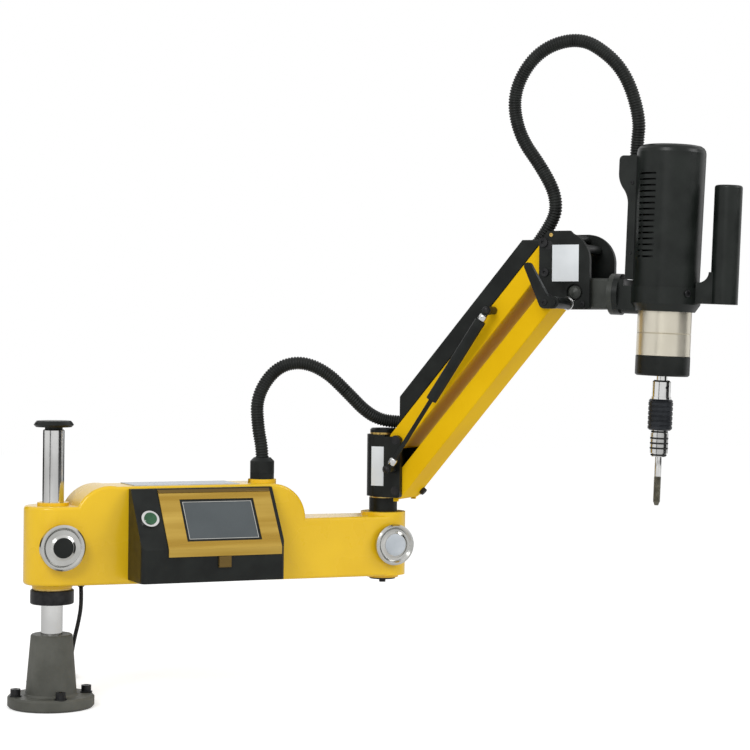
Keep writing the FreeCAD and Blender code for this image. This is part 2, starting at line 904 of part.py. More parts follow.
def hose_gland():
    seat = Vector(gland_x, gland_y, gland_boss_top)
    hexed = hexagon(gland_hex_across, gland_hex_height, seat)
    top = arm_hose_route[0][2] + gland_seat_depth
    nut_low = gland_boss_top + gland_hex_height
    nut = turned([
        (0, nut_low), (gland_nut_radius, nut_low), (gland_nut_radius, top - gland_nut_edge),
        (gland_nut_radius - gland_nut_edge, top), (0, top),
    ], Vector(gland_x, gland_y, 0))
    nut = drilled(nut, hose_radius + seat_gap, gland_seat_depth + overrun,
                  Vector(gland_x, gland_y, top - gland_seat_depth))
    return [drilled(piece, hose_bore_radius, top, seat - UP * overrun) for piece in (hexed, nut)]


def cord_grommet():
    at = cord_points()[0] + UP * seat_gap
    length = arm_underside(at.x + grommet_radius) - at.z
    tip = length + casting_wall / 2
    return turned([
        (0, 0), (grommet_tip_radius, 0), (grommet_radius, length * grommet_taper_share), (grommet_radius, length),
        (grommet_tip_radius, length), (grommet_tip_radius, tip), (0, tip),
    ], at)


# Post and knuckle

def pivots():
    return (upper_pivot_height, upper_pivot_height - pivot_spacing)


def knuckle_bottom():
    return pivots()[1] - knuckle_under_pivot


def knuckle_top():
    return pivots()[0] + knuckle_over_pivot


def post_shaft():
    shoulder = right_hub_top + post_shoulder_gap
    low_washer = knuckle_bottom() - knuckle_washer_thickness
    spindle_top = knuckle_top() + knuckle_washer_thickness
    foot = right_hub_bottom - right_boss_height - post_shoulder_gap
    return turned([
        (0, foot), (post_spigot_radius, foot), (post_spigot_radius, shoulder), (post_radius, shoulder),
        (post_radius, low_washer), (post_spindle_radius, low_washer), (post_spindle_radius, spindle_top),
        (0, spindle_top),
    ])


def retaining_screw():
    foot = right_hub_bottom - right_boss_height - post_shoulder_gap
    seat = Vector(0, 0, foot - retaining_washer_thickness)
    washer = rod(retaining_washer_radius, retaining_washer_thickness, seat)
    head = rod(retaining_screw_radius, retaining_screw_head, seat, DOWN)
    return washer.fuse(head).removeSplitter()


def knuckle_block():
    low, high = knuckle_bottom(), knuckle_top()
    block = rod(knuckle_radius, high - low, Vector(0, 0, low))
    block = block.fuse(box(0, knuckle_throat, -knuckle_front, knuckle_back, low, high)).removeSplitter()
    return drilled(block, post_spindle_radius + fit_gap, high - low + 2 * overrun, Vector(0, 0, low - overrun))


def knuckle_washers():
    rings = []
    for low in (knuckle_bottom() - knuckle_washer_thickness, knuckle_top()):
        ring = rod(knuckle_washer_radius, knuckle_washer_thickness, Vector(0, 0, low))
        rings.append(drilled(ring, post_spindle_radius + fit_gap, knuckle_washer_thickness + 2 * overrun,
                             Vector(0, 0, low - overrun)))
    return rings


def knuckle_cap():
    low = knuckle_top() + knuckle_washer_thickness
    return turned([
        (0, low), (knuckle_cap_radius, low), (knuckle_cap_radius, low + knuckle_cap_height - knuckle_edge),
        (knuckle_cap_radius - knuckle_edge, low + knuckle_cap_height), (0, low + knuckle_cap_height),
    ])


def cheek_faces():
    """Where the outer faces of the front and the rear cheek lie across the arm."""
    room = link_side_gap + cheek_thickness
    return -(link_front + room), link_back + room


def knuckle_cheeks():
    """Two cheeks that carry the links' lower pins, stepped inwards so that the links run between them."""
    cheeks = []
    top = knuckle_top() - cheek_top_drop
    front, back = cheek_faces()
    for y0, y1 in ((front, front + cheek_thickness), (back - cheek_thickness, back)):
        cheek = box(knuckle_throat, cheek_end, y0, y1, knuckle_bottom(), top)
        corners = [edge for edge in cheek.Edges if abs(edge.BoundBox.XMin - cheek_end) < fit_gap
                   and edge.BoundBox.YLength > fit_gap]
        cheek = cheek.makeFillet(cheek_edge, corners)
        for z in pivots():
            cheek = drilled(cheek, pin_radius + fit_gap, 2 * (back - front), Vector(pivot_reach, 2 * front, z), BACK)
        cheeks.append(cheek)
    return cheeks


def knuckle_pins():
    front, back = cheek_faces()
    return [rod(pin_radius, back - front, Vector(pivot_reach, front, z), BACK) for z in pivots()]


def lower_ball_stud():
    start = Vector(spring_foot_x, cheek_faces()[0], spring_foot().z)
    length = spring_plane - spring_end_thickness / 2 - seat_gap + start.y
    return rod(spring_stud_radius, length, start, FRONT)


# Parallel links, drawn flat and then raised about their lower pivot

def raised(shape, height):
    placed = shape.copy()
    turn = Rotation(FRONT, link_rise)
    placed.Placement = Placement(Vector(pivot_reach, 0, height), turn)
    return placed


def link_point(along, above, height):
    angle = math.radians(link_rise)
    return (pivot_reach + along * math.cos(angle) - above * math.sin(angle),
            height + along * math.sin(angle) + above * math.cos(angle))


def channel(low0, high0, low1, high1):
    """A channel with round ends and a closed underside. Its depth may change along its length."""
    end0, end1 = max(low0, high0), max(low1, high1)
    outline = [(0, high0), (link_length, high1), "arc", (link_length + end1, 0), (link_length, -low1),
               (0, -low0), "arc", (-end0, 0), (0, high0)]
    body = side_plate(outline, -link_front, link_back)
    inside = [(-end0 - overrun, high0 + overrun), (link_length + end1 + overrun, high1 + overrun),
              (link_length + end1 + overrun, -low1 + link_wall), (-end0 - overrun, -low0 + link_wall)]
    body = body.makeFillet(link_edge, edges_where(body, under_edge))
    return body.cut(side_plate(inside, -link_front + link_wall, link_back - link_wall))


def under_edge(edge):
    """One of the two long lower edges of a channel that lies flat."""
    box_of = edge.BoundBox
    at_side = abs(box_of.YMin + link_front) < fit_gap or abs(box_of.YMin - link_back) < fit_gap
    return box_of.ZMax < 0 and at_side and box_of.XLength > link_length / 2


def pin_holes(body, gap_foot, gap_tip):
    reach = link_back + overrun
    for x, gap in ((0, gap_foot), (link_length, gap_tip)):
        body = drilled(body, pin_radius + gap, 2 * reach, Vector(x, -reach, 0), BACK)
    return body


def upper_link():
    body = channel(upper_link_low, upper_link_high, upper_link_low, upper_link_high)
    end = link_length - hose_exit_back - seat_gap
    body = body.fuse(box(end - hose_anchor_length, end, -hose_anchor_half_width, hose_anchor_half_width,
                         link_wall / 2 - upper_link_low, hose_exit_rise + hose_radius))
    body = raised(pin_holes(body, fit_gap, fit_gap), upper_pivot_height)
    web_x, web_z = link_point(0, -upper_link_low + link_wall / 2, upper_pivot_height)
    slope = math.tan(math.radians(link_rise))
    x0, x1 = hose_anchor_start, hose_anchor_start + hose_anchor_length
    top = upper_pivot_height + hose_anchor_rise
    outline = [(x0, web_z + (x0 - web_x) * slope), (x0, top), (x1, top),
               (x1, web_z + (x1 - web_x) * slope)]
    return body.fuse(side_plate(outline, -hose_anchor_half_width, hose_anchor_half_width)).removeSplitter()


def lower_link():
    """The lower channel. Its side walls end in a toe that is squared off under the pivot."""
    body = channel(lower_link_low, lower_link_high, lower_link_low, lower_link_high)
    y0, y1 = link_wall - link_front, link_back - link_wall
    body = body.cut(box(-link_back, -lower_web_start, y0, y1, -link_back, 0))
    pivot = pivots()[1]
    body = raised(pin_holes(body, fit_gap, open_pivot_gap), pivot)
    left, top = pivot_reach - lower_foot_back, pivot - lower_foot_cut
    body = body.cut(box(left - link_back, left, -link_back, 2 * link_back, top - link_back, top))
    toe = box(left, pivot_reach + lower_foot_front, -link_front, link_back, pivot - lower_foot_drop, top)
    toe = toe.cut(box(left - overrun, left + link_back, y0, y1, pivot - link_back, pivot))
    return body.fuse(toe).removeSplitter()


def stop_bumper():
    x, z = link_point(bumper_reach, -lower_link_low, pivots()[1])
    angle = math.radians(link_rise)
    seat = Vector(x, link_back - bumper_radius, z)
    return rod(bumper_radius, bumper_height, seat, Vector(math.sin(angle), 0, -math.cos(angle)))


def cover_outline(inset):
    """The cable cover's side. Its top runs along the link, and its ends are cut upright and level."""
    low, high = upper_link_high, cover_rise - inset
    slope = math.tan(math.radians(link_rise))

    def along_line(x, above):
        foot_x, foot_z = link_point(0, above, upper_pivot_height)
        return foot_z + (x - foot_x) * slope

    end_x, end_z = link_point(link_length, 0, upper_pivot_height)
    left, right = cover_start + inset, end_x - cover_end_gap - inset
    top = end_z + cover_top_rise - inset
    foot_x, foot_z = link_point(0, high, upper_pivot_height)
    corner = foot_x + (top - foot_z) / slope
    sink = overrun if inset > 0 else 0
    return [(left, along_line(left, low - sink)), (left, along_line(left, high)), (corner, top),
            (right, top), (right, along_line(right, low - sink))]


def cable_cover():
    front, back = cover_side_gap - link_front, link_back - cover_side_gap
    body = side_plate(cover_outline(0), front, back)
    level = link_point(0, cover_rise, upper_pivot_height)[1] - link_edge
    rim = [edge for edge in body.Edges if edge.BoundBox.YLength < fit_gap
           and edge.BoundBox.ZMax > level and edge.BoundBox.XLength > overrun]
    body = body.makeFillet(link_edge, rim)
    body = body.cut(side_plate(cover_outline(cover_wall), front + cover_wall, back - cover_wall))
    body = drilled(body, hose_mouth_radius, hose_anchor_start + overrun - cover_start,
                   Vector(cover_start - overrun, 0, upper_pivot_height + hose_mouth_height), OUT)
    x, z = link_point(link_length - hose_exit_back, hose_exit_rise, upper_pivot_height)
    slope_line = Rotation(FRONT, link_rise).multVec(OUT)
    return drilled(body, hose_mouth_radius, 2 * hose_exit_back, Vector(x, 0, z), slope_line)


# Gas spring

def spring_foot():
    return Vector(spring_foot_x, -spring_plane, upper_pivot_height - spring_foot_drop)


def spring_head():
    x, z = link_point(spring_head_along, spring_head_above, upper_pivot_height)
    return Vector(x, -spring_plane, z)


def spring_line():
    line = spring_head() - spring_foot()
    return line.normalize()


def upper_ball_stud():
    start = spring_head() + BACK * (spring_plane - link_front)
    length = spring_plane - spring_end_thickness / 2 - link_front - fit_gap
    return rod(spring_stud_radius, length, start, FRONT)


def eye(centre):
    return rod(spring_end_radius, spring_end_thickness, centre + BACK * (spring_end_thickness / 2), FRONT)


def gas_spring_cylinder():
    down = spring_line() * -1
    ferrule_end = spring_head() + down * spring_ferrule_length
    ferrule = rod(spring_ferrule_radius, spring_ferrule_length + overrun, spring_head(), down)
    body = eye(spring_head()).fuse(ferrule)
    tube = rod(spring_tube_radius, spring_tube_length, ferrule_end, down)
    bore_length = spring_tube_length - spring_tube_radius - spring_gland_length
    bore_top = ferrule_end + down * spring_tube_radius
    bore = rod(spring_tube_radius - spring_tube_wall, bore_length, bore_top, down)
    mouth = rod(spring_rod_radius + fit_gap, spring_tube_length, bore_top, down)
    return body.fuse(tube).cut(bore).cut(mouth).removeSplitter()


def gas_spring_rod():
    up = spring_line()
    total = (spring_head() - spring_foot()).Length
    visible = total - spring_ferrule_length - spring_tube_length
    length = visible + spring_rod_inside
    body = eye(spring_foot()).fuse(rod(spring_ferrule_radius, spring_rod_collar, spring_foot(), up))
    body = body.fuse(rod(spring_rod_radius, length, spring_foot(), up))
    piston = rod(spring_tube_radius - spring_tube_wall - fit_gap, spring_piston_length,
                 spring_foot() + up * (length - spring_piston_length), up)
    return body.fuse(piston).removeSplitter()


# Head bracket

def head_pivots():
    return ((drawn_pivot_x, drawn_pivot_height), (drawn_pivot_x, drawn_pivot_height - pivot_spacing))


def with_bracket_holes(plate):
    reach = plate_back + 2 * overrun
    for x, z in head_pivots():
        plate = drilled(plate, pin_radius + fit_gap, 2 * reach, Vector(x, -reach, z), BACK)
    return drilled(plate, tilt_trunnion_radius + fit_gap, 2 * reach, Vector(tilt_x, -reach, tilt_z), BACK)


def head_front_plate():
    inset = plate_corner * (0.5 - arc_bulge_share)
    outline = [
        (plate_left + plate_corner, plate_bottom), (front_right, plate_bottom), (front_right, front_curve_end),
        "arc", (front_curve_x, front_curve_z), (front_shoulder, plate_top - front_shoulder_drop),
        (front_shoulder - front_shoulder_drop, plate_top), (front_slant_x, plate_top),
        (plate_left, front_slant_z), (plate_left, plate_bottom + plate_corner),
        "arc",
        (plate_left + inset, plate_bottom + inset), (plate_left + plate_corner, plate_bottom),
    ]
    plate = side_plate(outline, -plate_front - front_plate_thickness, -plate_front)
    plate = with_bracket_holes(plate)
    face = -plate_front - front_plate_thickness
    plate = drilled(plate, tilt_hole_radius, front_plate_thickness / 2, Vector(tilt_x, face, tilt_z), BACK)
    for x, z, share in screw_places():
        plate = drilled(plate, screw_shank_radius * share / 2 + fit_gap, front_plate_thickness / 4 + fit_gap,
                        Vector(x, face, z), BACK)
    through = Vector(lever_x, -2 * plate_front, lever_z)
    return drilled(plate, screw_shank_radius + fit_gap, 2 * plate_front, through, BACK)


def screw_places():
    return ((plate_screw_x, plate_screw_z, 1), (small_screw_x, small_screw_z, small_screw_share),
            (corner_screw_x, corner_screw_z, corner_screw_share))


def head_rear_plate():
    width, height = rear_right - rear_shoulder, rear_top - rear_curve_end
    outline = [
        (rear_left, plate_bottom), (rear_right, plate_bottom), (rear_right, rear_curve_end),
        "arc",
        (rear_shoulder + width * (0.5 + arc_bulge_share), rear_curve_end + height * (0.5 + arc_bulge_share)),
        (rear_shoulder, rear_top), (plate_left + 2 * plate_corner, rear_top),
        (plate_left, rear_top - 2 * plate_corner), (plate_left, plate_bottom + plate_corner),
        (plate_left + plate_corner, plate_bottom),
    ]
    return with_bracket_holes(side_plate(outline, plate_back, plate_back + rear_plate_thickness))


def bracket_bars():
    return [rod(bar_radius, plate_front + plate_back, Vector(x, -plate_front, z), BACK) for x, z in bar_places]


def head_pins():
    front = plate_front + front_plate_thickness
    back = plate_back + rear_plate_thickness
    return [rod(pin_radius, front + back, Vector(x, -front, z), BACK) for x, z in head_pivots()]


def bracket_screws():
    front = -plate_front - front_plate_thickness
    screws = []
    for x, z, share in screw_places():
        screws.append(socket_screw(
            Vector(x, front, z), FRONT, screw_shank_radius * share / 2, front_plate_thickness / 4,
            screw_head_radius * share, screw_head_height * share, screw_socket_across * share,
            screw_socket_depth * share))
    return screws


def rounded_bar(first, first_radius, last, last_radius, thickness):
    """A flat bar with round ends, drawn towards the front."""
    line = last - first
    lean = (first_radius - last_radius) / line.Length
    along = line.normalize()
    across = Vector(-along.z, 0, along.x)
    side = math.sqrt(1 - lean * lean)
    left, right = [], []
    for centre, radius in ((first, first_radius), (last, last_radius)):
        left.append(centre + along * (radius * lean) + across * (radius * side))
        right.append(centre + along * (radius * lean) - across * (radius * side))
    face = face_of([left[0], left[1], "arc", last + along * last_radius, right[1],
                    right[0], "arc", first - along * first_radius, left[0]])
    return face.extrude(FRONT * thickness)


def clamp_lever():
    """A cranked lever on a long hub out of the front plate. A thread behind it grips the tilt block."""
    seat = Vector(lever_x, -(plate_front + front_plate_thickness + seat_gap), lever_z)
    hub = seat + FRONT * (lever_stand_off - lever_thickness)
    heel = hub - OUT * lever_heel_reach
    tip = Vector(lever_tip_x, hub.y, lever_tip_z)
    body = rounded_bar(heel, lever_root_radius, tip, lever_tip_radius, lever_thickness)
    body = body.fuse(rounded_bar(hub, lever_root_radius, heel, lever_root_radius, lever_thickness))
    body = body.fuse(rod(lever_hub_radius, lever_stand_off, seat, FRONT))
    body = body.fuse(rod(lever_ring_radius, lever_ring_thickness, seat, FRONT))
    body = body.fuse(rod(lever_screw_radius, lever_screw_height, seat + FRONT * lever_stand_off, FRONT))
    shank = front_plate_thickness + plate_front - tilt_block_half_width
    return body.fuse(rod(screw_shank_radius, shank, seat, BACK)).removeSplitter()


# Tilt block and motor bracket

def roll_at(x):
    return Vector(x, 0, tilt_z)


def tilt_block():
    half, high = tilt_block_half_width, tilt_block_half_height
    block = box(tilt_block_start, tilt_block_end, -half, half, tilt_z - high, tilt_z + high)
    length = [edge for edge in block.Edges if edge.BoundBox.XLength > half]
    block = block.makeFillet(tilt_block_edge, length)
    block = block.fuse(rod(flange_radius, flange_thickness, roll_at(tilt_block_end), OUT))
    front, back = plate_front + front_plate_thickness / 2, plate_back + rear_plate_thickness
    trunnion = rod(tilt_trunnion_radius, front + back, Vector(tilt_x, -front, tilt_z), BACK)
    flush = front_plate_thickness / 2
    shoulder = tilt_dome_radius * (1 - tilt_dome_share / 2)
    dome = turned([
        (0, 0), (tilt_dome_radius, 0), (tilt_dome_radius, flush),
        (shoulder, flush + tilt_dome_rise * tilt_dome_share), (0, flush + tilt_dome_rise),
    ], Vector(tilt_x, -front - fit_gap, tilt_z), FRONT)
    dome = dome.fuse(rod(tilt_trunnion_radius, 2 * fit_gap, Vector(tilt_x, -front + fit_gap, tilt_z), FRONT))
    block = block.fuse(trunnion).fuse(dome).removeSplitter()
    bore = tilt_block_end + flange_thickness - roll_spigot_length - overrun
    return drilled(block, roll_spigot_radius + fit_gap, roll_spigot_length + 2 * overrun, roll_at(bore), OUT)


def tool_at(z):
    return Vector(tool_x, 0, z)


def motor_bracket():
    """The casting that carries the motor: roll spigot, neck, clamp ring and a floor over the gearbox."""
    face = tilt_block_end + flange_thickness + seat_gap
    high = tilt_block_half_height
    body = rod(flange_radius, flange_thickness, roll_at(face), OUT)
    body = body.fuse(box(face, tool_x - motor_foot_radius / 2, -roll_web_half_width, roll_web_half_width,
                         tilt_z - high, tilt_z + high))
    body = body.fuse(rod(lobe_radius, tool_x - face - motor_foot_radius / 2,
                         Vector(face, 0, tilt_z - high + lobe_radius - lobe_drop), OUT))
    body = body.fuse(rod(roll_spigot_radius, roll_spigot_length, roll_at(face + fit_gap), OUT * -1))
    shell = turned([
        (0, nose_bottom), (nose_radius, nose_bottom), (ring_radius, ring_bottom), (ring_radius, motor_bottom),
        (0, motor_bottom),
    ], Vector(tool_x, 0, 0))
    body = body.fuse(shell).removeSplitter()
    upper = rod(ring_radius + 2 * overrun, 2 * high, tool_at(motor_bottom))
    body = body.cut(upper).cut(rod(gearbox_radius + seat_gap, high, tool_at(nose_bottom), DOWN))
    inner = motor_foot_radius - motor_wall
    body = drilled(body, inner, motor_bottom, tool_at(nose_bottom + bracket_floor))
    return drilled(body, gearbox_bore_radius, motor_bottom, tool_at(nose_bottom - overrun))


def motor_housing():
    """The tall motor cover: slightly wider at its top, with a rounded crown and a row of vent slots."""
    steps = 4
    profile = [(0, motor_bottom), (motor_foot_radius, motor_bottom), (motor_radius, motor_top - motor_crown)]
    for k in range(1, steps):
        angle = math.pi / 2 * k / steps
        profile.append((motor_radius - motor_crown * (1 - math.cos(angle)),
                        motor_top - motor_crown * (1 - math.sin(angle))))
    profile += [(motor_radius - motor_crown, motor_top), (0, motor_top)]
    at = Vector(tool_x, 0, 0)
    body = turned(profile, at)
    body = body.cut(turned([
        (0, motor_bottom - overrun), (motor_foot_radius - motor_wall, motor_bottom - overrun),
        (motor_radius - motor_wall, motor_top - motor_crown),
        (motor_radius - motor_crown, motor_top - motor_wall),
        (0, motor_top - motor_wall),
    ], at))
    slot_width = 2 * motor_radius * math.sin(math.radians(vent_half_angle))
    for k in range(vent_count):
        slot = Part.makeBox(2 * vent_depth, slot_width, vent_height,
                            Vector(motor_radius - vent_depth, -slot_width / 2, vent_first + k * vent_pitch))
        slot.Placement = Placement(Vector(tool_x, 0, 0), Rotation(UP, vent_direction))
        body = body.cut(slot)
    return body


def servo_motor():
    low = nose_bottom + bracket_floor
    body = rod(servo_radius, motor_top - servo_clearance - motor_crown - low, tool_at(low))
    return body.fuse(rod(servo_shaft_radius, low - gearbox_seam, tool_at(gearbox_seam))).removeSplitter()


def side_cover_outline(inset):
    """The cover's side, wide where the hose enters and drawn in below by two tangent arcs."""
    waist, reach = side_cover_waist + inset, side_cover_reach + inset
    low, high, top = side_cover_neck_low, side_cover_neck_high, side_cover_top - inset
    middle_x, middle_z = (waist + reach) / 2, (low + high) / 2
    dip = (waist - reach) * neck_dip_share
    rise = (high - low) * neck_rise_share
    corner = side_cover_corner - inset
    bottom = tilt_z + tilt_block_half_height + seat_gap + inset
    return [
        (waist, bottom), (waist, low),
        "arc", (waist - dip, low + rise), (middle_x, middle_z),
        "arc", (reach + dip, high - rise), (reach, high),
        (reach, top - corner),
        "arc", (reach + corner * (0.5 - arc_bulge_share), top - corner * (0.5 - arc_bulge_share)),
        (reach + corner, top), (tool_x, top), (tool_x, bottom),
    ]


def side_cover():
    """A cable box on the motor's inner side. The hose enters its top, behind the motor's centre line."""
    wall = side_cover_wall
    body = side_plate(side_cover_outline(0), -side_cover_front_width, side_cover_back_width)
    inside = side_plate(side_cover_outline(wall), wall - side_cover_front_width, side_cover_back_width - wall)
    body = body.cut(inside)
    clear = turned([
        (0, motor_bottom), (motor_foot_radius + fit_gap, motor_bottom),
        (motor_radius + fit_gap, motor_top - motor_crown), (motor_radius + fit_gap, motor_top + overrun),
        (0, motor_top + overrun),
    ], Vector(tool_x, 0, 0))
    return body.cut(clear)


def handle():
    """An upright grip on a level leg that grows out of the clamp ring."""
    x = tool_x + handle_reach
    low = handle_low
    leg_top = low + handle_leg_height
    grip = rod(handle_radius, handle_top - low, Vector(x, 0, low))
    crown = edges_where(grip, lambda edge: flat_at(edge, handle_top))
    grip = grip.makeFillet(handle_crown, crown)
    leg = box(tool_x, x, -handle_leg_half_width, handle_leg_half_width, low, leg_top)
    start = x - handle_radius - handle_fillet
    web = side_plate([
        (start, leg_top), "arc",
        (start + handle_fillet * (0.5 + arc_bulge_share), leg_top + handle_fillet * (0.5 - arc_bulge_share)),
        (x - handle_radius, leg_top + handle_fillet),
        (x, leg_top + handle_fillet), (x, leg_top - handle_fillet), (start, leg_top - handle_fillet),
    ], -handle_leg_half_width, handle_leg_half_width)
    body = grip.fuse(leg).fuse(web).removeSplitter()
    return body.cut(rod(ring_radius + fit_gap, handle_top, tool_at(ring_bottom - overrun)))


# Gearbox, chuck and tap

def gearbox_top():
    return nose_bottom


def gearbox():
    r, g = gearbox_radius, gearbox_groove
    body = turned([
        (0, gearbox_bottom), (r - g, gearbox_bottom), (r, gearbox_bottom + g), (r, gearbox_seam - g),
        (r - g, gearbox_seam), (r, gearbox_seam + g), (r, gearbox_top()), (0, gearbox_top()),
    ], Vector(tool_x, 0, 0))
    body = drilled(body, servo_shaft_radius + seat_gap, gearbox_top(), tool_at(gearbox_seam - seat_gap))
    return drilled(body, spindle_radius + fit_gap, gearbox_seam, tool_at(0))


def nose_ring():
    r, lip = nose_ring_radius, nose_ring_lip
    low = gearbox_bottom - nose_ring_height
    body = turned([
        (0, low), (r - lip, low), (r, low + lip), (r, gearbox_bottom), (0, gearbox_bottom),
    ], Vector(tool_x, 0, 0))
    return drilled(body, spindle_radius + fit_gap, gearbox_bottom, tool_at(low - overrun))


def chuck_top():
    return gearbox_bottom - nose_ring_height - spindle_gap_height


def spindle():
    length = gearbox_seam - seat_gap - overrun - chuck_top()
    return rod(spindle_radius, length, tool_at(chuck_top()))


def chuck_body():
    top = chuck_top()
    step = top - chuck_height
    inner = sleeve_radius - sleeve_wall
    low = step - sleeve_height
    body = turned([
        (0, low), (inner - fit_gap, low), (inner - fit_gap, step), (chuck_radius + fit_gap, step),
        (chuck_radius, step + fit_gap), (chuck_radius, top - knob_edge), (chuck_radius - knob_edge, top),
        (0, top),
    ], Vector(tool_x, 0, 0))
    return drilled(body, collet_spigot_radius + fit_gap, collet_spigot_length, tool_at(low))


def chuck_sleeve():
    step = chuck_top() - chuck_height
    low = step - sleeve_height + fit_gap
    pitch = sleeve_height / (sleeve_groove_count + 1)
    r, depth = sleeve_radius, sleeve_groove_depth
    profile = [(sleeve_radius - sleeve_wall, low), (r - knob_edge, low), (r, low + knob_edge)]
    for k in range(1, sleeve_groove_count + 1):
        z, half = low + k * pitch, pitch * sleeve_groove_share / 2
        profile += [(r, z - half), (r - depth, z - half / 2), (r - depth, z + half / 2), (r, z + half)]
    top = step - sleeve_travel
    profile += [(r, top - knob_edge), (r - knob_edge, top), (sleeve_radius - sleeve_wall, top)]
    points = [Vector(radius, 0, height) for radius, height in profile]
    solid = Part.Face(Part.makePolygon(points + [points[0]])).revolve(Vector(0, 0, 0), UP, 360)
    solid.Placement = Placement(Vector(tool_x, 0, 0), Rotation())
    return solid


def collet_low():
    return chuck_top() - chuck_height - sleeve_height - collet_neck_height - collet_height


def collet():
    low, high = collet_low(), collet_low() + collet_height
    r, depth = collet_radius, collet_groove_depth
    pitch = collet_height / (collet_groove_count + 1)
    lip = low - collet_lip_height
    profile = [(0, lip), (collet_lip_radius, lip), (collet_lip_radius, low), (r, low)]
    for k in range(1, collet_groove_count + 1):
        z, half = low + k * pitch, collet_groove_height / 2
        profile += [(r, z - half), (r - depth, z - half), (r - depth, z + half), (r, z + half)]
    neck = high + collet_neck_height
    top = neck + collet_spigot_length - seat_gap
    profile += [(r, high), (collet_neck_radius, high), (collet_neck_radius, neck), (collet_spigot_radius, neck),
                (collet_spigot_radius, top), (0, top)]
    body = turned(profile, Vector(tool_x, 0, 0))
    return drilled(body, tap_shank_radius + fit_gap, tap_seat_length + seat_gap + overrun,
                   tool_at(low - collet_lip_height - overrun))


def tap():
    top = collet_low() - collet_lip_height
    tip = top - tap_length
    thread_top, shank_top = tip + tap_thread_length, top + tap_seat_length
    return turned([
        (0, tip), (tap_radius * tap_tip_share, tip), (tap_radius, tip + tap_tip_length),
        (tap_radius, thread_top), (tap_shank_radius, thread_top), (tap_shank_radius, shank_top), (0, shank_top),
    ], Vector(tool_x, 0, 0))


# Routes: straight runs joined by tangent arcs

def corner_radii(points):
    """The radius of the arc at each inner point, from its shorter run and half of its turn."""
    radii = []
    for before, here, after in zip(points, points[1:], points[2:]):
        first, second = here - before, after - here
        half_turn = first.getAngle(second) / 2
        radii.append(0.45 * min(first.Length, second.Length) / math.tan(half_turn))
    return radii


def route_edges(points):
    edges, start = [], points[0]
    for index, radius in enumerate(corner_radii(points), 1):
        before, here, after = points[index - 1], points[index], points[index + 1]
        back = (before - here).normalize()
        ahead = (after - here).normalize()
        half_turn = (here - before).getAngle(after - here) / 2
        reach = radius * math.tan(half_turn)
        first, last = here + back * reach, here + ahead * reach
        middle = here + (back + ahead).normalize() * (radius / math.cos(half_turn) - radius)
        edges.append(Part.LineSegment(start, first).toShape())
        edges.append(Part.Arc(first, middle, last).toShape())
        start = last
    edges.append(Part.LineSegment(start, points[-1]).toShape())
    return edges


def circle_wire(at, along, across, radius):
    ring = Part.Circle(Vector(0, 0, 0), UP, radius).toShape()
    ring.Placement = Placement(at, Rotation(across, along.cross(across), along, "ZXY"))
    return Part.Wire(ring)


def swept_tube(points, radius, label):
    edges = route_edges(points)
    wire = Part.Wire(edges)
    start = (points[1] - points[0]).normalize()
    shell = Part.BRepOffsetAPI.MakePipeShell(wire)
    shell.add(circle_wire(points[0], start, start.cross(OUT).normalize(), radius))
    shell.build()
    shell.makeSolid()
    tube = shell.shape()
    print(label, "length", round(wire.Length, 1), "radii", [round(r) for r in corner_radii(points)],
          "volume over section times length", round(tube.Volume / (math.pi * radius ** 2 * wire.Length), 4))
    return tube


def stations(edges, distances, across):
    """Places, directions and steady cross axes at the given distances along the edges."""
    places, passed, index = [], 0, 0
    for distance in distances:
        while index < len(edges) - 1 and distance > passed + edges[index].Length:
            passed += edges[index].Length
            index += 1
        edge = edges[index]
        at = edge.getParameterByLength(min(distance - passed, edge.Length))
        along = edge.tangentAt(at)
        flat = (across - along * across.dot(along)).normalize()
        places.append((edge.valueAt(at), along, flat))
    return places


def ribbed_hose(points, across, label):
    edges = route_edges(points)
    total = sum(edge.Length for edge in edges)
    plain = 2 * hose_radius
    ribs = int((total - 2 * plain) / hose_rib_pitch)
    pitch = (total - 2 * plain) / ribs
    valley, crest = hose_radius - hose_groove, hose_radius
    crest_half, foot_half = hose_crest_share / 2, hose_crest_share / 2 + hose_flank_share
    distances, radii = [0], [crest]
    for k in range(ribs):
        middle = plain + (k + 0.5) * pitch
        steps = ((-foot_half, valley), (-crest_half, crest), (crest_half, crest), (foot_half, valley))
        for share, radius in steps:
            distances.append(middle + share * pitch)
            radii.append(radius)
    distances.append(total)
    radii.append(crest)
    places = stations(edges, distances, across)
    rings = [circle_wire(at, along, flat, radius) for (at, along, flat), radius in zip(places, radii)]
    hose = Part.makeLoft(rings, True, True)
    start = (points[1] - points[0]).normalize()
    end = (points[-1] - points[-2]).normalize()
    longer = [points[0] - start * overrun] + list(points[1:-1]) + [points[-1] + end * overrun]
    bore_steps = [distance for distance in distances[::2]]
    bore_places = stations(edges, bore_steps, across)
    bore_rings = [circle_wire(longer[0], start, bore_places[0][2], hose_bore_radius)]
    bore_rings += [circle_wire(at, along, flat, hose_bore_radius) for at, along, flat in bore_places]
    bore_rings.append(circle_wire(longer[-1], end, bore_places[-1][2], hose_bore_radius))
    bore = Part.makeLoft(bore_rings, True, True)
    hollow = hose.cut(bore)
    print(label, "length", round(total, 1), "ribs", ribs, "radii", [round(r) for r in corner_radii(points)],
          "volume", round(hollow.Volume), hollow.isValid())
    return hollow


def arm_hose():
    points = [Vector(*point) for point in arm_hose_route]
    return ribbed_hose(points, BACK, "arm hose")


def head_hose():
    x, z = link_point(link_length - hose_exit_back, hose_exit_rise, upper_pivot_height)
    points = [swung_point(x, 0, z)] + [swung_point(*point) for point in head_hose_route]
    points += [swung_point(*leaned_point(*point)) for point in head_hose_end]
    return ribbed_hose(points, Rotation(UP, rest_swing).multVec(BACK), "head hose")


def swung_point(x, y, z):
    return Rotation(UP, rest_swing).multVec(Vector(x, y, z)) + Vector(arm_length, 0, 0)


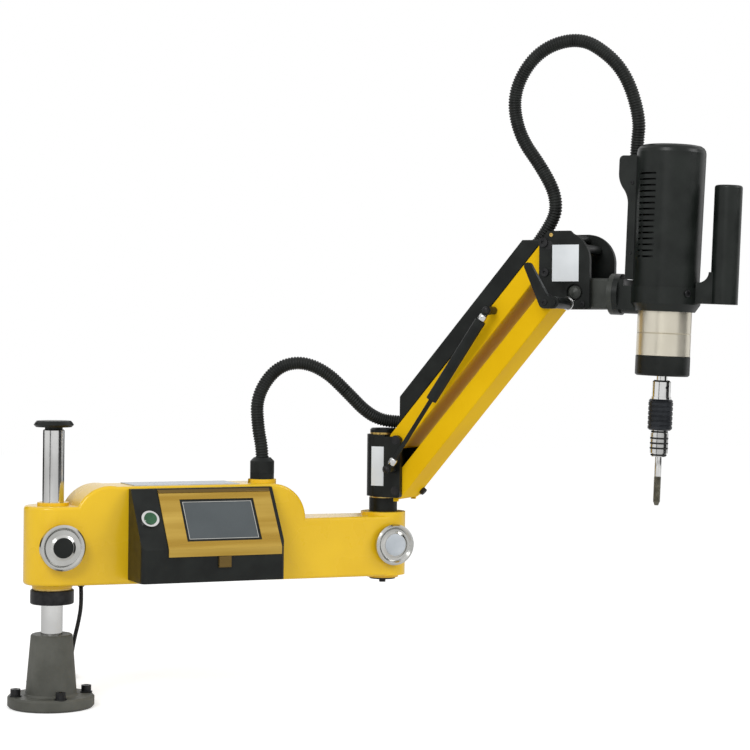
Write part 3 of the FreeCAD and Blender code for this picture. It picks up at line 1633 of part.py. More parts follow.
def leaned_point(x, y, z):
    pivot = Vector(tilt_x, 0, tilt_z)
    point = pivot + Rotation(BACK, head_lean).multVec(Vector(x, y, z) - pivot)
    return point.x, point.y, point.z


# Mains cord, drawn beside and along the line of sight past the column

def sight_point(beside, along, z):
    angle = math.radians(sight_angle)
    return Vector(beside * math.cos(angle) + along * math.sin(angle),
                  -beside * math.sin(angle) + along * math.cos(angle), z)


def cord_points():
    return [sight_point(*point) for point in cord_route]


def coil_pose(quarter):
    """Beside, along and height of the cord's centre line after a number of quarter turns.

    The cord spirals in and out at a steady rate and climbs one layer in the half turn around each reversal."""
    cycle = coil_quarters_per_layer + coil_climb_quarters
    reach = coil_step * cycle / 8
    passed = quarter + coil_climb_quarters / 2
    leg = min(int(passed // cycle), coil_layers - 1)
    wound = (passed - leg * cycle) * coil_step / 4
    offset = reach - wound if leg % 2 == 0 else wound - reach
    layer = min(int(quarter // cycle), coil_layers - 1)
    climb = min(max(quarter - layer * cycle - coil_quarters_per_layer, 0) / coil_climb_quarters, 1)
    height = cord_radius + (layer + climb * climb * (3 - 2 * climb)) * coil_step
    radius, turn = coil_mid_radius + offset, quarter * math.pi / 2
    return Vector(radius * math.cos(turn), radius * math.sin(turn), height)


def coil_point(quarter):
    flat = coil_pose(quarter)
    return sight_point(flat.x, coil_along + flat.y, flat.z)


def coil_direction(quarter):
    step = 0.01
    return (coil_point(quarter + step) - coil_point(quarter - step)).normalize()


def biarc(start, start_way, end, end_way):
    chord = end - start
    both = start_way + end_way
    spread = 2 * (1 - start_way.dot(end_way))
    reach = (-chord.dot(both) + math.sqrt(chord.dot(both) ** 2 + spread * chord.dot(chord))) / spread
    first, second = start + start_way * reach, end - end_way * reach
    joint = (first + second) * 0.5
    arcs = []
    for here, corner, there in ((start, first, joint), (joint, second, end)):
        middle_chord = (here + there) * 0.5
        half_chord = (here - middle_chord).Length
        drop = (corner - middle_chord).Length
        arm = (corner - here).Length
        radius = half_chord * arm / drop
        apex = math.sqrt(radius ** 2 + arm ** 2) - radius
        arcs.append(Part.Arc(here, corner + (middle_chord - corner).normalize() * apex, there).toShape())
    return arcs


def least_gap(quarters):
    """The least clear distance between the cord and itself, on points a few degrees apart."""
    per_quarter = 12
    points = [coil_point(k / per_quarter) for k in range(quarters * per_quarter + 1)]
    apart = 2 * per_quarter
    return min((a - b).Length for i, a in enumerate(points) for b in points[i + apart:]) - 2 * cord_radius


def cord_coil():
    """The coiled length and the short tail to the plug, as one unbroken tube."""
    edges = []
    for k in range(coil_quarters):
        edges += biarc(coil_point(k), coil_direction(k), coil_point(k + 1), coil_direction(k + 1))
    tail = [coil_point(coil_quarters)] + [sight_point(*point) for point in tail_route]
    edges += route_edges(tail)
    wire = Part.Wire(edges)
    start = coil_direction(0)
    shell = Part.BRepOffsetAPI.MakePipeShell(wire)
    shell.add(circle_wire(coil_point(0), start, start.cross(UP).normalize(), cord_radius))
    shell.build()
    shell.makeSolid()
    coil = shell.shape()
    print("coil length", round(wire.Length), "turns", coil_quarters / 4,
          "least gap", round(least_gap(coil_quarters), 2),
          "tail radii", [round(r) for r in corner_radii(tail)], "volume", round(coil.Volume), coil.isValid())
    return coil


def mains_plug():
    """A plain two-pin plug with a strain relief, lying on the bench behind the base."""
    end, before = sight_point(*tail_route[-1]), sight_point(*tail_route[-2])
    neck = rod(plug_neck_radius, plug_neck_length + plug_edge, Vector(0, 0, 0))
    body = Part.makeBox(2 * plug_half_width, 2 * plug_half_height, plug_length,
                        Vector(-plug_half_width, -plug_half_height, plug_neck_length))
    long_edges = [edge for edge in body.Edges if edge.BoundBox.ZLength > plug_half_width]
    body = body.makeFillet(plug_edge, long_edges).fuse(neck)
    for side in (-1, 1):
        foot = Vector(side * plug_pin_spread, 0, plug_neck_length + plug_length - plug_edge)
        body = body.fuse(rod(plug_pin_radius, plug_pin_length + plug_edge, foot))
    body = body.removeSplitter()
    along = (end - before).normalize()
    beside = along.cross(UP).normalize()
    body.Placement = Placement(end, Rotation(beside, beside.cross(along) * -1, along, "ZXY"))
    return body


save("base_flange", base())
save("base_bolts", *base_bolts())
save("column", column())
save("column_cap", column_cap())
save("height_collar", height_collar(), collar_screw())
save("thrust_washer", thrust_washer())
save("arm_casting", arm_casting())
save("arm_bushes", *arm_bushes())
save("arm_top_plate", arm_top_plate())
save("column_knob", *clamp_knob(0, column_knob_height, column_knob_reach, column_knob_depth, column_knob_radius,
                                column_knob_cap_radius, column_radius))
save("post_knob", *clamp_knob(arm_length, post_knob_height, post_knob_reach, post_knob_depth, post_knob_radius,
                              post_knob_cap_radius, post_spigot_radius))
save("control_housing", control_housing())
save("control_bezel", control_bezel())
save("touch_screen", touch_screen())
save("button_ring", button_ring())
save("power_button", power_button())
save("panel_latch", panel_latch())
save("control_board", control_board())
save("hose_gland", *hose_gland())
save("cord_grommet", cord_grommet())
save_swung("post_shaft", post_shaft())
save_swung("post_retaining_screw", retaining_screw())
save_swung("knuckle_block", knuckle_block())
save_swung("knuckle_washers", *knuckle_washers())
save_swung("knuckle_cap", knuckle_cap())
save_swung("knuckle_cheeks", *knuckle_cheeks())
save_swung("knuckle_pins", *knuckle_pins())
save_swung("lower_ball_stud", lower_ball_stud())
save_swung("upper_link", upper_link())
save_swung("lower_link", lower_link())
save_swung("stop_bumper", stop_bumper())
save_swung("cable_cover", cable_cover())
save_swung("upper_ball_stud", upper_ball_stud())
save_swung("gas_spring_cylinder", gas_spring_cylinder())
save_swung("gas_spring_rod", gas_spring_rod())
save_bracket("head_front_plate", head_front_plate())
save_bracket("head_rear_plate", head_rear_plate())
save_bracket("bracket_bars", *bracket_bars())
save_bracket("head_pins", *head_pins())
save_bracket("bracket_screws", *bracket_screws())
save_bracket("clamp_lever", clamp_lever())
save_head("tilt_block", tilt_block())
save_head("motor_bracket", motor_bracket())
save_head("motor_housing", motor_housing())
save_head("servo_motor", servo_motor())
save_head("side_cover", side_cover())
save_head("handle", handle())
save_head("gearbox", gearbox())
save_head("nose_ring", nose_ring())
save_head("spindle", spindle())
save_head("chuck_body", chuck_body())
save_head("chuck_sleeve", chuck_sleeve())
save_head("collet", collet())
save_head("tap", tap())
save("arm_hose", arm_hose())
save("head_hose", head_hose())
save("mains_cord", swept_tube(cord_points(), cord_radius, "mains cord"))
save("mains_cord_coil", cord_coil())
save("mains_plug", mains_plug())
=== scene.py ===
import math

import bpy
from mathutils import Matrix, Vector


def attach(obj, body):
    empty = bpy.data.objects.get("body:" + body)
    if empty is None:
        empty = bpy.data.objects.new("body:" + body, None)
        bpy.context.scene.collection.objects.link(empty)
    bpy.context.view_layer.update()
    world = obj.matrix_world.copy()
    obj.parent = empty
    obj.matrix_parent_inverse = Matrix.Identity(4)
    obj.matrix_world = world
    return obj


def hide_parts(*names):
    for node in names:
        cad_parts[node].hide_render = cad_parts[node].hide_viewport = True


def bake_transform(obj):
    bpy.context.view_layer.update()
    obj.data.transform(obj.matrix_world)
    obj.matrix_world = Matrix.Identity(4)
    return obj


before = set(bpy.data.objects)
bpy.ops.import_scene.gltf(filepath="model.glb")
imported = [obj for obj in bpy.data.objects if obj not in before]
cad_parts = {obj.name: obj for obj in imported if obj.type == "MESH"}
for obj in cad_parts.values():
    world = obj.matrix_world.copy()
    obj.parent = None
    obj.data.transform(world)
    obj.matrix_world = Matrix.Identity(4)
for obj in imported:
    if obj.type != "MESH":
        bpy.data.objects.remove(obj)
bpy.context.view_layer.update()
bpy.ops.object.select_all(action="DESELECT")


# ---------------------------------------------------------------------------
# The viewer's place. A long lens stands a little above the main arm, looks level
# and sees the machine from slightly left of straight on, with the picture square.
view_angle = math.radians(-24.0)
view_droop = math.radians(0.6)
bpy.ops.object.camera_add()
viewer = bpy.context.object
viewer.name = "viewer"
viewer.matrix_world = (
    Matrix.Translation((-0.6937, -2.5864, 0.468))
    @ Matrix.Rotation(view_angle, 4, "Z")
    @ Matrix.Rotation(math.radians(90.0), 4, "X")
    @ Matrix.Rotation(view_droop, 4, "Z")
)
viewer.data.sensor_width = 36.0
viewer.data.lens = 97.76
viewer.data.shift_x = -0.0023
viewer.data.shift_y = -0.0345
viewer.data.clip_end = 50.0
bpy.context.scene.camera = viewer


# ---------------------------------------------------------------------------
# Arm hose: corrugated black polyamide, 18 mm over the ribs. It is screwed into the
# gland on the main arm, arches over to the post and dives into the cable cover.
hose_width = 0.018
rib_pitch = 0.0036
groove_depth = 0.0012


def smooth_line(name, corners):
    """Points along the smooth line that the route's points steer."""
    steer = bpy.data.curves.new(name, "CURVE")
    steer.dimensions = "3D"
    steer.resolution_u = 24
    strand = steer.splines.new("NURBS")
    strand.points.add(len(corners) - 1)
    for point, corner in zip(strand.points, corners):
        point.co = (corner[0], corner[1], corner[2], 1.0)
    strand.order_u = 3
    strand.use_endpoint_u = True
    holder = bpy.data.objects.new(name, steer)
    bpy.context.collection.objects.link(holder)
    bpy.context.view_layer.update()
    read = bpy.data.meshes.new_from_object(holder)
    line = [vertex.co.copy() for vertex in read.vertices]
    bpy.data.objects.remove(holder)
    bpy.data.meshes.remove(read)
    bpy.data.curves.remove(steer)
    return line


def distances(line):
    """How far along the line each of its points is."""
    run = [0.0]
    for here, there in zip(line, line[1:]):
        run.append(run[-1] + (there - here).length)
    return run


def stretch(line, start, end):
    """The part of a line between two distances from its beginning."""
    run = distances(line)
    inner = [p for p, d in zip(line, run) if start + 1e-5 < d < end - 1e-5]
    return [spot(line, run, start)[0], *inner, spot(line, run, end)[0]]


def spot(line, run, distance):
    """The point and the direction at a distance along the line."""
    last = len(line) - 2
    k = min(max(sum(1 for d in run[1:] if d < distance), 0), last)
    leg = line[k + 1] - line[k]
    share = min(max((distance - run[k]) / max(run[k + 1] - run[k], 1e-9), 0.0), 1.0)
    before = (line[k] - line[k - 1]).normalized() if k > 0 else leg.normalized()
    after = (line[k + 2] - line[k + 1]).normalized() if k < last else leg.normalized()
    here = leg.normalized()
    aim = (before + here).normalized().lerp((here + after).normalized(), share)
    return line[k] + leg * share, aim.normalized()


def drawn_tube(name, line, rings, sides):
    """A closed tube with a ring of the given radius at each of the given distances."""
    run = distances(line)
    aim = spot(line, run, rings[0][0])[1]
    across = aim.orthogonal().normalized()
    corners, faces = [], []
    for distance, radius in rings:
        centre, aim = spot(line, run, distance)
        across = (across - aim * across.dot(aim)).normalized()
        beside = aim.cross(across)
        for k in range(sides):
            turn = 2 * math.pi * k / sides
            corners.append(centre + (across * math.cos(turn) + beside * math.sin(turn)) * radius)
    for ring in range(len(rings) - 1):
        for k in range(sides):
            following = (k + 1) % sides
            low, high = ring * sides, (ring + 1) * sides
            faces.append((low + k, low + following, high + following, high + k))
    faces.append(tuple(reversed(range(sides))))
    top = (len(rings) - 1) * sides
    faces.append(tuple(range(top, top + sides)))
    mesh = bpy.data.meshes.new(name)
    mesh.from_pydata(corners, [], faces)
    mesh.shade_smooth()
    tube = bpy.data.objects.new(name, mesh)
    bpy.context.collection.objects.link(tube)
    return tube


def ribs_between(start, end):
    """Rings of a corrugated hose: rounded crests with a narrow groove after each."""
    count = round((end - start) / rib_pitch)
    pitch = (end - start) / count
    crest = hose_width / 2
    profile = ((0.0, groove_depth), (0.14, 0.55 * groove_depth), (0.24, 0.12 * groove_depth), (0.42, 0.0),
               (0.60, 0.12 * groove_depth), (0.72, 0.55 * groove_depth), (0.86, groove_depth))
    rings = [(start + (k + share) * pitch, crest - drop) for k in range(count) for share, drop in profile]
    return rings + [(end, crest - groove_depth)]


def finish(name, dark, pale, patch, rough, grain, depth, metallic=0.0, coat=0.0, specular=0.3,
           brushed=(1.0, 1.0, 1.0)):
    """A surface whose shade drifts between two colours, with uneven gloss and a fine relief.

    A brushed surface has its pattern drawn out along the axis with the smallest share.
    """
    made = bpy.data.materials.new(name)
    made.use_nodes = True
    nodes, links = made.node_tree.nodes, made.node_tree.links
    surface = nodes["Principled BSDF"]
    surface.inputs["Metallic"].default_value = metallic
    surface.inputs["Coat Weight"].default_value = coat
    surface.inputs["Coat Roughness"].default_value = 0.12
    surface.inputs["Specular IOR Level"].default_value = specular
    place = nodes.new("ShaderNodeTexCoord")
    spread = nodes.new("ShaderNodeMapping")
    spread.inputs["Scale"].default_value = brushed
    links.new(place.outputs["Object"], spread.inputs["Vector"])
    clouds = nodes.new("ShaderNodeTexNoise")
    clouds.inputs["Scale"].default_value = patch
    clouds.inputs["Detail"].default_value = 5.0
    links.new(spread.outputs["Vector"], clouds.inputs["Vector"])
    shades = nodes.new("ShaderNodeValToRGB")
    shades.color_ramp.elements[0].position = 0.35
    shades.color_ramp.elements[0].color = (*dark, 1.0)
    shades.color_ramp.elements[1].position = 0.65
    shades.color_ramp.elements[1].color = (*pale, 1.0)
    links.new(clouds.outputs["Fac"], shades.inputs["Fac"])
    links.new(shades.outputs["Color"], surface.inputs["Base Color"])
    gloss = nodes.new("ShaderNodeMapRange")
    gloss.inputs["From Min"].default_value = 0.3
    gloss.inputs["From Max"].default_value = 0.7
    gloss.inputs["To Min"].default_value = rough[0]
    gloss.inputs["To Max"].default_value = rough[1]
    links.new(clouds.outputs["Fac"], gloss.inputs["Value"])
    links.new(gloss.outputs["Result"], surface.inputs["Roughness"])
    specks = nodes.new("ShaderNodeTexNoise")
    specks.inputs["Scale"].default_value = grain
    specks.inputs["Detail"].default_value = 3.0
    links.new(spread.outputs["Vector"], specks.inputs["Vector"])
    relief = nodes.new("ShaderNodeBump")
    relief.inputs["Strength"].default_value = 0.6
    relief.inputs["Distance"].default_value = depth
    links.new(specks.outputs["Fac"], relief.inputs["Height"])
    links.new(relief.outputs["Normal"], surface.inputs["Normal"])
    return made


def coat_piece(piece, material):
    """Gives a piece one material all over."""
    if not piece.material_slots:
        piece.data.materials.append(material)
    for place in piece.material_slots:
        place.material = material


hose_black = finish("hose_black", (0.006, 0.007, 0.0065), (0.014, 0.016, 0.0145), 60.0, (0.34, 0.48), 900.0,
                    0.00006, specular=0.22)
arm_hose_route = (
    (0.2880, -0.0040, 0.3120), (0.2880, -0.0040, 0.3300), (0.2835, 0.0020, 0.3610),
    (0.2834, 0.0080, 0.4021), (0.3108, 0.0105, 0.4404), (0.3447, 0.0040, 0.4506),
    (0.3805, -0.0030, 0.4371), (0.4150, -0.0050, 0.4051), (0.4387, -0.0040, 0.3828),
    (0.4615, -0.0035, 0.3703), (0.4848, -0.0170, 0.3670), (0.5000, -0.0345, 0.3670),
)
arm_hose_line = smooth_line("arm_hose_line", arm_hose_route)
arm_hose_length = distances(arm_hose_line)[-1]
arm_hose_split = 0.246
hose_over = stretch(arm_hose_line, 0.0, arm_hose_split)
arm_hose_over = drawn_tube("arm_hose_over", hose_over, ribs_between(0.0, distances(hose_over)[-1]), 24)
coat_piece(arm_hose_over, hose_black)
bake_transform(arm_hose_over)
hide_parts("arm_hose")
hose_in = stretch(arm_hose_line, arm_hose_split, arm_hose_length)
arm_hose_in = drawn_tube("arm_hose_in", hose_in, ribs_between(0.0, distances(hose_in)[-1]), 24)
coat_piece(arm_hose_in, hose_black)
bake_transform(arm_hose_in)
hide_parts("arm_hose")


# ---------------------------------------------------------------------------
# Head hose: the same corrugated hose, out of the cable cover's upper end, up in a tall
# loop and down into the motor's side cover. It lies in the second arm's own plane.
arm_swing = math.radians(-49.0)
post_axis = Vector((0.470, 0.0, 0.0))
tilt_axis = Vector((0.2905, 0.0, 0.5455))
head_lean = math.radians(2.0)
swung = Matrix.Translation(post_axis) @ Matrix.Rotation(arm_swing, 4, "Z")
leaned = Matrix.Translation(tilt_axis) @ Matrix.Rotation(head_lean, 4, "Y") @ Matrix.Translation(-tilt_axis)
in_head = swung @ leaned
head_hose_route = [swung @ Vector(point) for point in (
    (0.2135, 0.0, 0.5975), (0.2475, 0.0, 0.63835), (0.2520, 0.0, 0.6730), (0.2322, 0.0, 0.7111),
    (0.1957, 0.0, 0.7600), (0.1867, 0.0, 0.8185), (0.2222, 0.0, 0.8729), (0.2817, 0.0, 0.8878),
    (0.3261, 0.0, 0.8594), (0.3495, 0.0050, 0.8260),
)] + [in_head @ Vector(point) for point in (
    (0.3546, 0.0120, 0.7780), (0.3515, 0.0150, 0.7470), (0.3515, 0.0150, 0.7280),
)]
head_hose_line = smooth_line("head_hose_line", head_hose_route)
head_hose_ends = (0.0, 0.130, 0.360, distances(head_hose_line)[-1])
head_hose_parts = (
    ("head_hose_foot", "upper_link", "head_bracket", (0.228, 0.0, 0.615), (0.240, 0.0, 0.700)),
    ("head_hose_rise", "head_bracket", "tilt_block", (0.226, 0.0, 0.730), (0.250, 0.0, 0.870)),
    ("head_hose_fall", "tilt_block", "head", (0.300, 0.0, 0.870), (0.366, 0.0, 0.780)),
)
for (name, first_body, last_body, first_point, last_point), start, end in zip(
        head_hose_parts, head_hose_ends, head_hose_ends[1:]):
    part_line = stretch(head_hose_line, start, end)
    part_length = distances(part_line)[-1]
    hose_part = drawn_tube(name, part_line, ribs_between(0.0, part_length), 24)
    coat_piece(hose_part, hose_black)
    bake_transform(hose_part)
    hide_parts("head_hose")


# ---------------------------------------------------------------------------
# Mains cord: 5.4 mm round black lead from the grommet under the main arm, down behind
# the base to the bench, where its length lies in a neat coil that ends in the plug.
cord_width = 0.0054
behind = Matrix.Rotation(math.radians(-15.0), 4, "Z")
cord_fall_route = (
    (0.0375, 0.0310, 0.1510), (0.0385, 0.0325, 0.1290), (0.0350, 0.0375, 0.1050), (0.0295, 0.0455, 0.0800),
    (0.0258, 0.0545, 0.0560), (0.0258, 0.0640, 0.0330), (0.0284, 0.0770, 0.0110), (0.0312, 0.0920, 0.0027),
)
coil_place = 0.108
coil_radius = 0.027
coil_step = 0.0059
points_per_turn = 12


def coil_corner(quarter):
    """A steering point of the coil, which spirals in and out and climbs a layer at each reversal."""
    passed = quarter + 1.0
    leg = min(int(passed // 7), 3)
    reach, wound = coil_step * 7 / 8, (passed - leg * 7) * coil_step / 4
    offset = reach - wound if leg % 2 == 0 else wound - reach
    layer = min(int(quarter // 7), 3)
    climb = min(max(quarter - layer * 7 - 5, 0.0) / 2, 1.0)
    height = cord_width / 2 + (layer + climb * climb * (3 - 2 * climb)) * coil_step
    outer = (coil_radius + offset) / math.cos(math.pi / points_per_turn)
    turn = quarter * math.pi / 2
    return (outer * math.cos(turn), coil_place + outer * math.sin(turn), height)


coil_route = [coil_corner((k + 0.5) * 4 / points_per_turn) for k in range(6 * points_per_turn)]
tail_route = (
    (0.0286, 0.1340, 0.0204), (0.0210, 0.1580, 0.0102), (0.0140, 0.1780, 0.0086), (0.0140, 0.1940, 0.0086),
)
mains_line = smooth_line("mains_line",
                         [behind @ Vector(p) for p in (*cord_fall_route, *coil_route, *tail_route)])
mains_length = distances(mains_line)[-1]
cord_split = 0.056
cord_black = finish("cord_black", (0.010, 0.010, 0.011), (0.022, 0.022, 0.023), 90.0, (0.42, 0.55), 1400.0,
                    0.00002)
lead_down = stretch(mains_line, 0.0, cord_split)
mains_cord_upper = drawn_tube("mains_cord_upper", lead_down,
                              [(k * distances(lead_down)[-1] / 24, cord_width / 2) for k in range(25)], 20)
coat_piece(mains_cord_upper, cord_black)
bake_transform(mains_cord_upper)
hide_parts("mains_cord")
lead_coil = stretch(mains_line, cord_split, mains_length)
lead_steps = 640
mains_cord_lower = drawn_tube("mains_cord_lower", lead_coil,
                              [(k * distances(lead_coil)[-1] / lead_steps, cord_width / 2)
                               for k in range(lead_steps + 1)], 16)
coat_piece(mains_cord_lower, cord_black)
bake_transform(mains_cord_lower)
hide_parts("mains_cord", "mains_cord_coil")
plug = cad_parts["mains_plug"]
coat_piece(plug, cord_black)


# ---------------------------------------------------------------------------
# Base: a cast iron flange with a tall cone, painted dark grey, bolted to the bench
# with four socket screws on plain washers.
casting_grey = finish("casting_grey", (0.070, 0.071, 0.060), (0.105, 0.106, 0.092), 26.0, (0.42, 0.60), 420.0,
                      0.00022)
coat_piece(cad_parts["base_flange"], casting_grey)
oiled_steel = finish("oiled_steel", (0.010, 0.010, 0.011), (0.024, 0.024, 0.025), 120.0, (0.28, 0.45), 1500.0,
                     0.00003, metallic=0.4)
coat_piece(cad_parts["base_bolts"], oiled_steel)


# ---------------------------------------------------------------------------
# Column: ground and chromed steel bar. A black plastic cap is pushed into its top,
# and the black height collar with its brass washer carries the arm.
chrome = finish("chrome", (0.60, 0.60, 0.59), (0.72, 0.72, 0.71), 14.0, (0.07, 0.14), 700.0, 0.00002,
                metallic=1.0)
coat_piece(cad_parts["column"], chrome)
moulded_black = finish("moulded_black", (0.0045, 0.0055, 0.0050), (0.0090, 0.0110, 0.0098), 45.0,
                       (0.30, 0.44), 1100.0, 0.00005, specular=0.22)
coat_piece(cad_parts["column_cap"], moulded_black)
coat_piece(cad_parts["height_collar"], oiled_steel)
brass = finish("brass", (0.52, 0.35, 0.10), (0.70, 0.50, 0.18), 80.0, (0.22, 0.38), 900.0, 0.00003,
               metallic=1.0)
coat_piece(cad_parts["thrust_washer"], brass)


# ---------------------------------------------------------------------------
# Main arm: an aluminium casting in thick yellow stove enamel, with a pale strip let
# into the top. Sleeve bushes line both hubs.
yellow_enamel = finish("yellow_enamel", (0.76, 0.47, 0.006), (0.83, 0.53, 0.010), 9.0, (0.22, 0.32), 230.0,
                       0.00020, coat=0.35, specular=0.3)
coat_piece(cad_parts["arm_casting"], yellow_enamel)
pale_plate = finish("pale_plate", (0.42, 0.46, 0.50), (0.52, 0.56, 0.60), 40.0, (0.25, 0.4), 800.0, 0.00003)
coat_piece(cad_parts["arm_top_plate"], pale_plate)
coat_piece(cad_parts["arm_bushes"], brass)


# ---------------------------------------------------------------------------
# Clamp knobs: turned aluminium hand wheels with a dished face, one for the column hub
# with a black centre cap and one for the post hub with a pale flat cap.
column_knob_face = Vector((0.0, -0.0535, 0.210))
post_knob_face = Vector((0.470, -0.0430, 0.1995))
to_front = Vector((0.0, -1.0, 0.0))


def turned_piece(name, profile, place, aim, sides=48):
    """A turned piece: a disc drawn out step by step, each to its own radius, and set along an aim."""
    bpy.ops.object.select_all(action="DESELECT")
    bpy.ops.mesh.primitive_circle_add(vertices=sides, radius=profile[0][0], fill_type="NGON")
    piece = bpy.context.object
    piece.name = name
    piece.data.name = name
    bpy.ops.object.mode_set(mode="EDIT")
    bpy.ops.mesh.select_all(action="SELECT")
    for (before, low), (radius, high) in zip(profile, profile[1:]):
        bpy.ops.mesh.extrude_region_move(TRANSFORM_OT_translate={"value": (0.0, 0.0, high - low)})
        bpy.ops.transform.resize(value=(radius / before, radius / before, 1.0),
                                 center_override=(0.0, 0.0, 0.0))
    bpy.ops.mesh.select_all(action="SELECT")
    bpy.ops.mesh.normals_make_consistent(inside=False)
    bpy.ops.object.mode_set(mode="OBJECT")
    settle(piece, Matrix.Translation(place) @ Vector(aim).to_track_quat("Z", "Y").to_matrix().to_4x4()
           @ Matrix.Translation((0.0, 0.0, profile[0][1])))
    return piece


def settle(piece, placing):
    """Puts a modelled piece in its place, with its place in its mesh, and smooths its round faces."""
    piece.matrix_world = placing
    bpy.ops.object.transform_apply(location=True, rotation=True, scale=True)
    bpy.ops.object.shade_smooth_by_angle(angle=math.radians(35.0))


def fit_piece(piece, body, material):
    """Fixes a new piece to a body and gives it its finish."""
    coat_piece(piece, material)
    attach(piece, body)


turned_silver = finish("turned_silver", (0.44, 0.44, 0.42), (0.56, 0.56, 0.54), 30.0, (0.12, 0.22), 900.0,
                       0.00004, metallic=1.0)
coat_piece(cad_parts["column_knob"], turned_silver)
coat_piece(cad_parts["post_knob"], turned_silver)
knob_centre = turned_piece("column_knob_centre",
                           ((0.0131, 0.0), (0.0131, 0.0009), (0.0124, 0.0015), (0.0080, 0.0017)),
                           column_knob_face, to_front)
fit_piece(knob_centre, "column_knob", moulded_black)
knob_disc = turned_piece("post_knob_centre",
                         ((0.0150, 0.0), (0.0150, 0.0007), (0.0144, 0.0011), (0.0100, 0.0011)),
                         post_knob_face, to_front)
fit_piece(knob_disc, "post_knob", pale_plate)


# ---------------------------------------------------------------------------
# Control console: a black moulded housing on the arm's front with a gold anodised
# bezel, a touch screen in a thin silver frame, a green power button and a latch.
console_crease = Vector((0.0, -0.0975, 0.208))
console_lean = math.atan2(0.052, 0.075)
bezel_lift = 0.0016
on_console = Matrix.Translation(console_crease) @ Matrix.Rotation(math.radians(90.0) - console_lean, 4, "X")
screen_left, screen_right, screen_low, screen_high = 0.15305, 0.25545, 0.01055, 0.07345
screen_lift = 0.0004


def border_piece(name, left, right, low, high, width, lift, height):
    """A flat rectangular frame that lies on the console's sloping face."""
    bpy.ops.object.select_all(action="DESELECT")
    bpy.ops.mesh.primitive_plane_add(size=1.0)
    piece = bpy.context.object
    piece.name = name
    piece.data.name = name
    piece.scale = (right - left, high - low, 1.0)
    bpy.ops.object.transform_apply(location=False, rotation=False, scale=True)
    bpy.ops.object.mode_set(mode="EDIT")
    bpy.ops.mesh.select_all(action="SELECT")
    bpy.ops.mesh.inset(thickness=width)
    bpy.ops.mesh.delete(type="FACE")
    bpy.ops.object.mode_set(mode="OBJECT")
    thick = piece.modifiers.new("thick", "SOLIDIFY")
    thick.thickness = height
    thick.offset = 1.0
    bpy.ops.object.modifier_apply(modifier="thick")
    settle(piece, on_console @ Matrix.Translation(((left + right) / 2, (low + high) / 2, lift)))
    return piece


def plate_piece(name, size, edge, placing):
    """A flat plate with rounded corners and a small bevel all round, centred on its place."""
    bpy.ops.object.select_all(action="DESELECT")
    bpy.ops.mesh.primitive_cube_add(size=1.0)
    piece = bpy.context.object
    piece.name = name
    piece.data.name = name
    piece.scale = size
    bpy.ops.object.transform_apply(location=False, rotation=False, scale=True)
    bpy.ops.object.mode_set(mode="EDIT")
    bpy.ops.mesh.select_all(action="SELECT")
    bpy.ops.mesh.bevel(offset=edge, segments=2, affect="EDGES")
    bpy.ops.object.mode_set(mode="OBJECT")
    settle(piece, placing)
    return piece


coat_piece(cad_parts["control_housing"], moulded_black)
gold_anodised = finish("gold_anodised", (0.40, 0.245, 0.040), (0.56, 0.38, 0.085), 60.0, (0.26, 0.40), 800.0,
                       0.00004, metallic=0.8, brushed=(0.05, 1.0, 1.0))
coat_piece(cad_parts["control_bezel"], gold_anodised)
screen_glass = finish("screen_glass", (0.070, 0.082, 0.088), (0.088, 0.102, 0.108), 12.0, (0.12, 0.18), 500.0,
                      0.00001)
coat_piece(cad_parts["touch_screen"], screen_glass)
# A black border round the screen stands in for the shadow that the bezel's edge casts into the screen's
# recess: painted shadow.
screen_shadow_border = border_piece("screen_shadow_border", screen_left, screen_right, screen_low, screen_high, 0.0034,
                             screen_lift, 0.0004)
fit_piece(screen_shadow_border, "main_arm", moulded_black)
screen_trim = border_piece("screen_trim", screen_left + 0.0034, screen_right - 0.0034, screen_low + 0.0034,
                           screen_high - 0.0034, 0.0009, screen_lift, 0.0006)
fit_piece(screen_trim, "main_arm", turned_silver)
bezel_strip = plate_piece("bezel_top_strip", (0.1546, 0.0052, 0.0010), 0.0003,
                          on_console @ Matrix.Translation((0.2035, 0.0858, bezel_lift + 0.0004)))
dark_bronze = finish("dark_bronze", (0.110, 0.070, 0.018), (0.180, 0.115, 0.032), 30.0, (0.30, 0.42), 800.0,
                     0.00004, metallic=0.6, brushed=(0.06, 1.0, 1.0))
fit_piece(bezel_strip, "main_arm", dark_bronze)
coat_piece(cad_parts["button_ring"], chrome)
button_green = finish("button_green", (0.020, 0.075, 0.035), (0.035, 0.115, 0.055), 60.0, (0.22, 0.32), 900.0,
                      0.00002)
coat_piece(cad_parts["power_button"], button_green)
coat_piece(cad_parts["panel_latch"], dark_bronze)
board_green = finish("board_green", (0.01, 0.10, 0.03), (0.02, 0.14, 0.05), 60.0, (0.35, 0.5), 900.0, 0.00004)
coat_piece(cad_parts["control_board"], board_green)


# ---------------------------------------------------------------------------
# Hose gland and cord grommet: black polyamide, screwed into the arm's top boss and
# pushed into its underside.
coat_piece(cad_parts["hose_gland"], moulded_black)
coat_piece(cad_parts["cord_grommet"], moulded_black)


# ---------------------------------------------------------------------------
# Post and knuckle: a black steel post turns in the arm's end hub and carries the
# black knuckle block between two brass washers, with cheeks for the links' pins.
satin_black = finish("satin_black", (0.0045, 0.0056, 0.0050), (0.0095, 0.0115, 0.0102), 35.0, (0.30, 0.44),
                     500.0, 0.00012, specular=0.2)
for part in ("post_shaft", "knuckle_block", "knuckle_cap", "knuckle_cheeks"):
    coat_piece(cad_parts[part], satin_black)
coat_piece(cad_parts["knuckle_washers"], brass)
for part in ("post_retaining_screw", "knuckle_pins", "lower_ball_stud"):
    coat_piece(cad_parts[part], oiled_steel)
swung_front = swung.to_3x3() @ to_front
head_front = in_head.to_3x3() @ to_front
label_thickness = 0.0006
label_edge = 0.00025
blank_label = finish("blank_label", (0.66, 0.69, 0.71), (0.72, 0.75, 0.77), 30.0, (0.35, 0.48), 900.0,
                     0.00002)
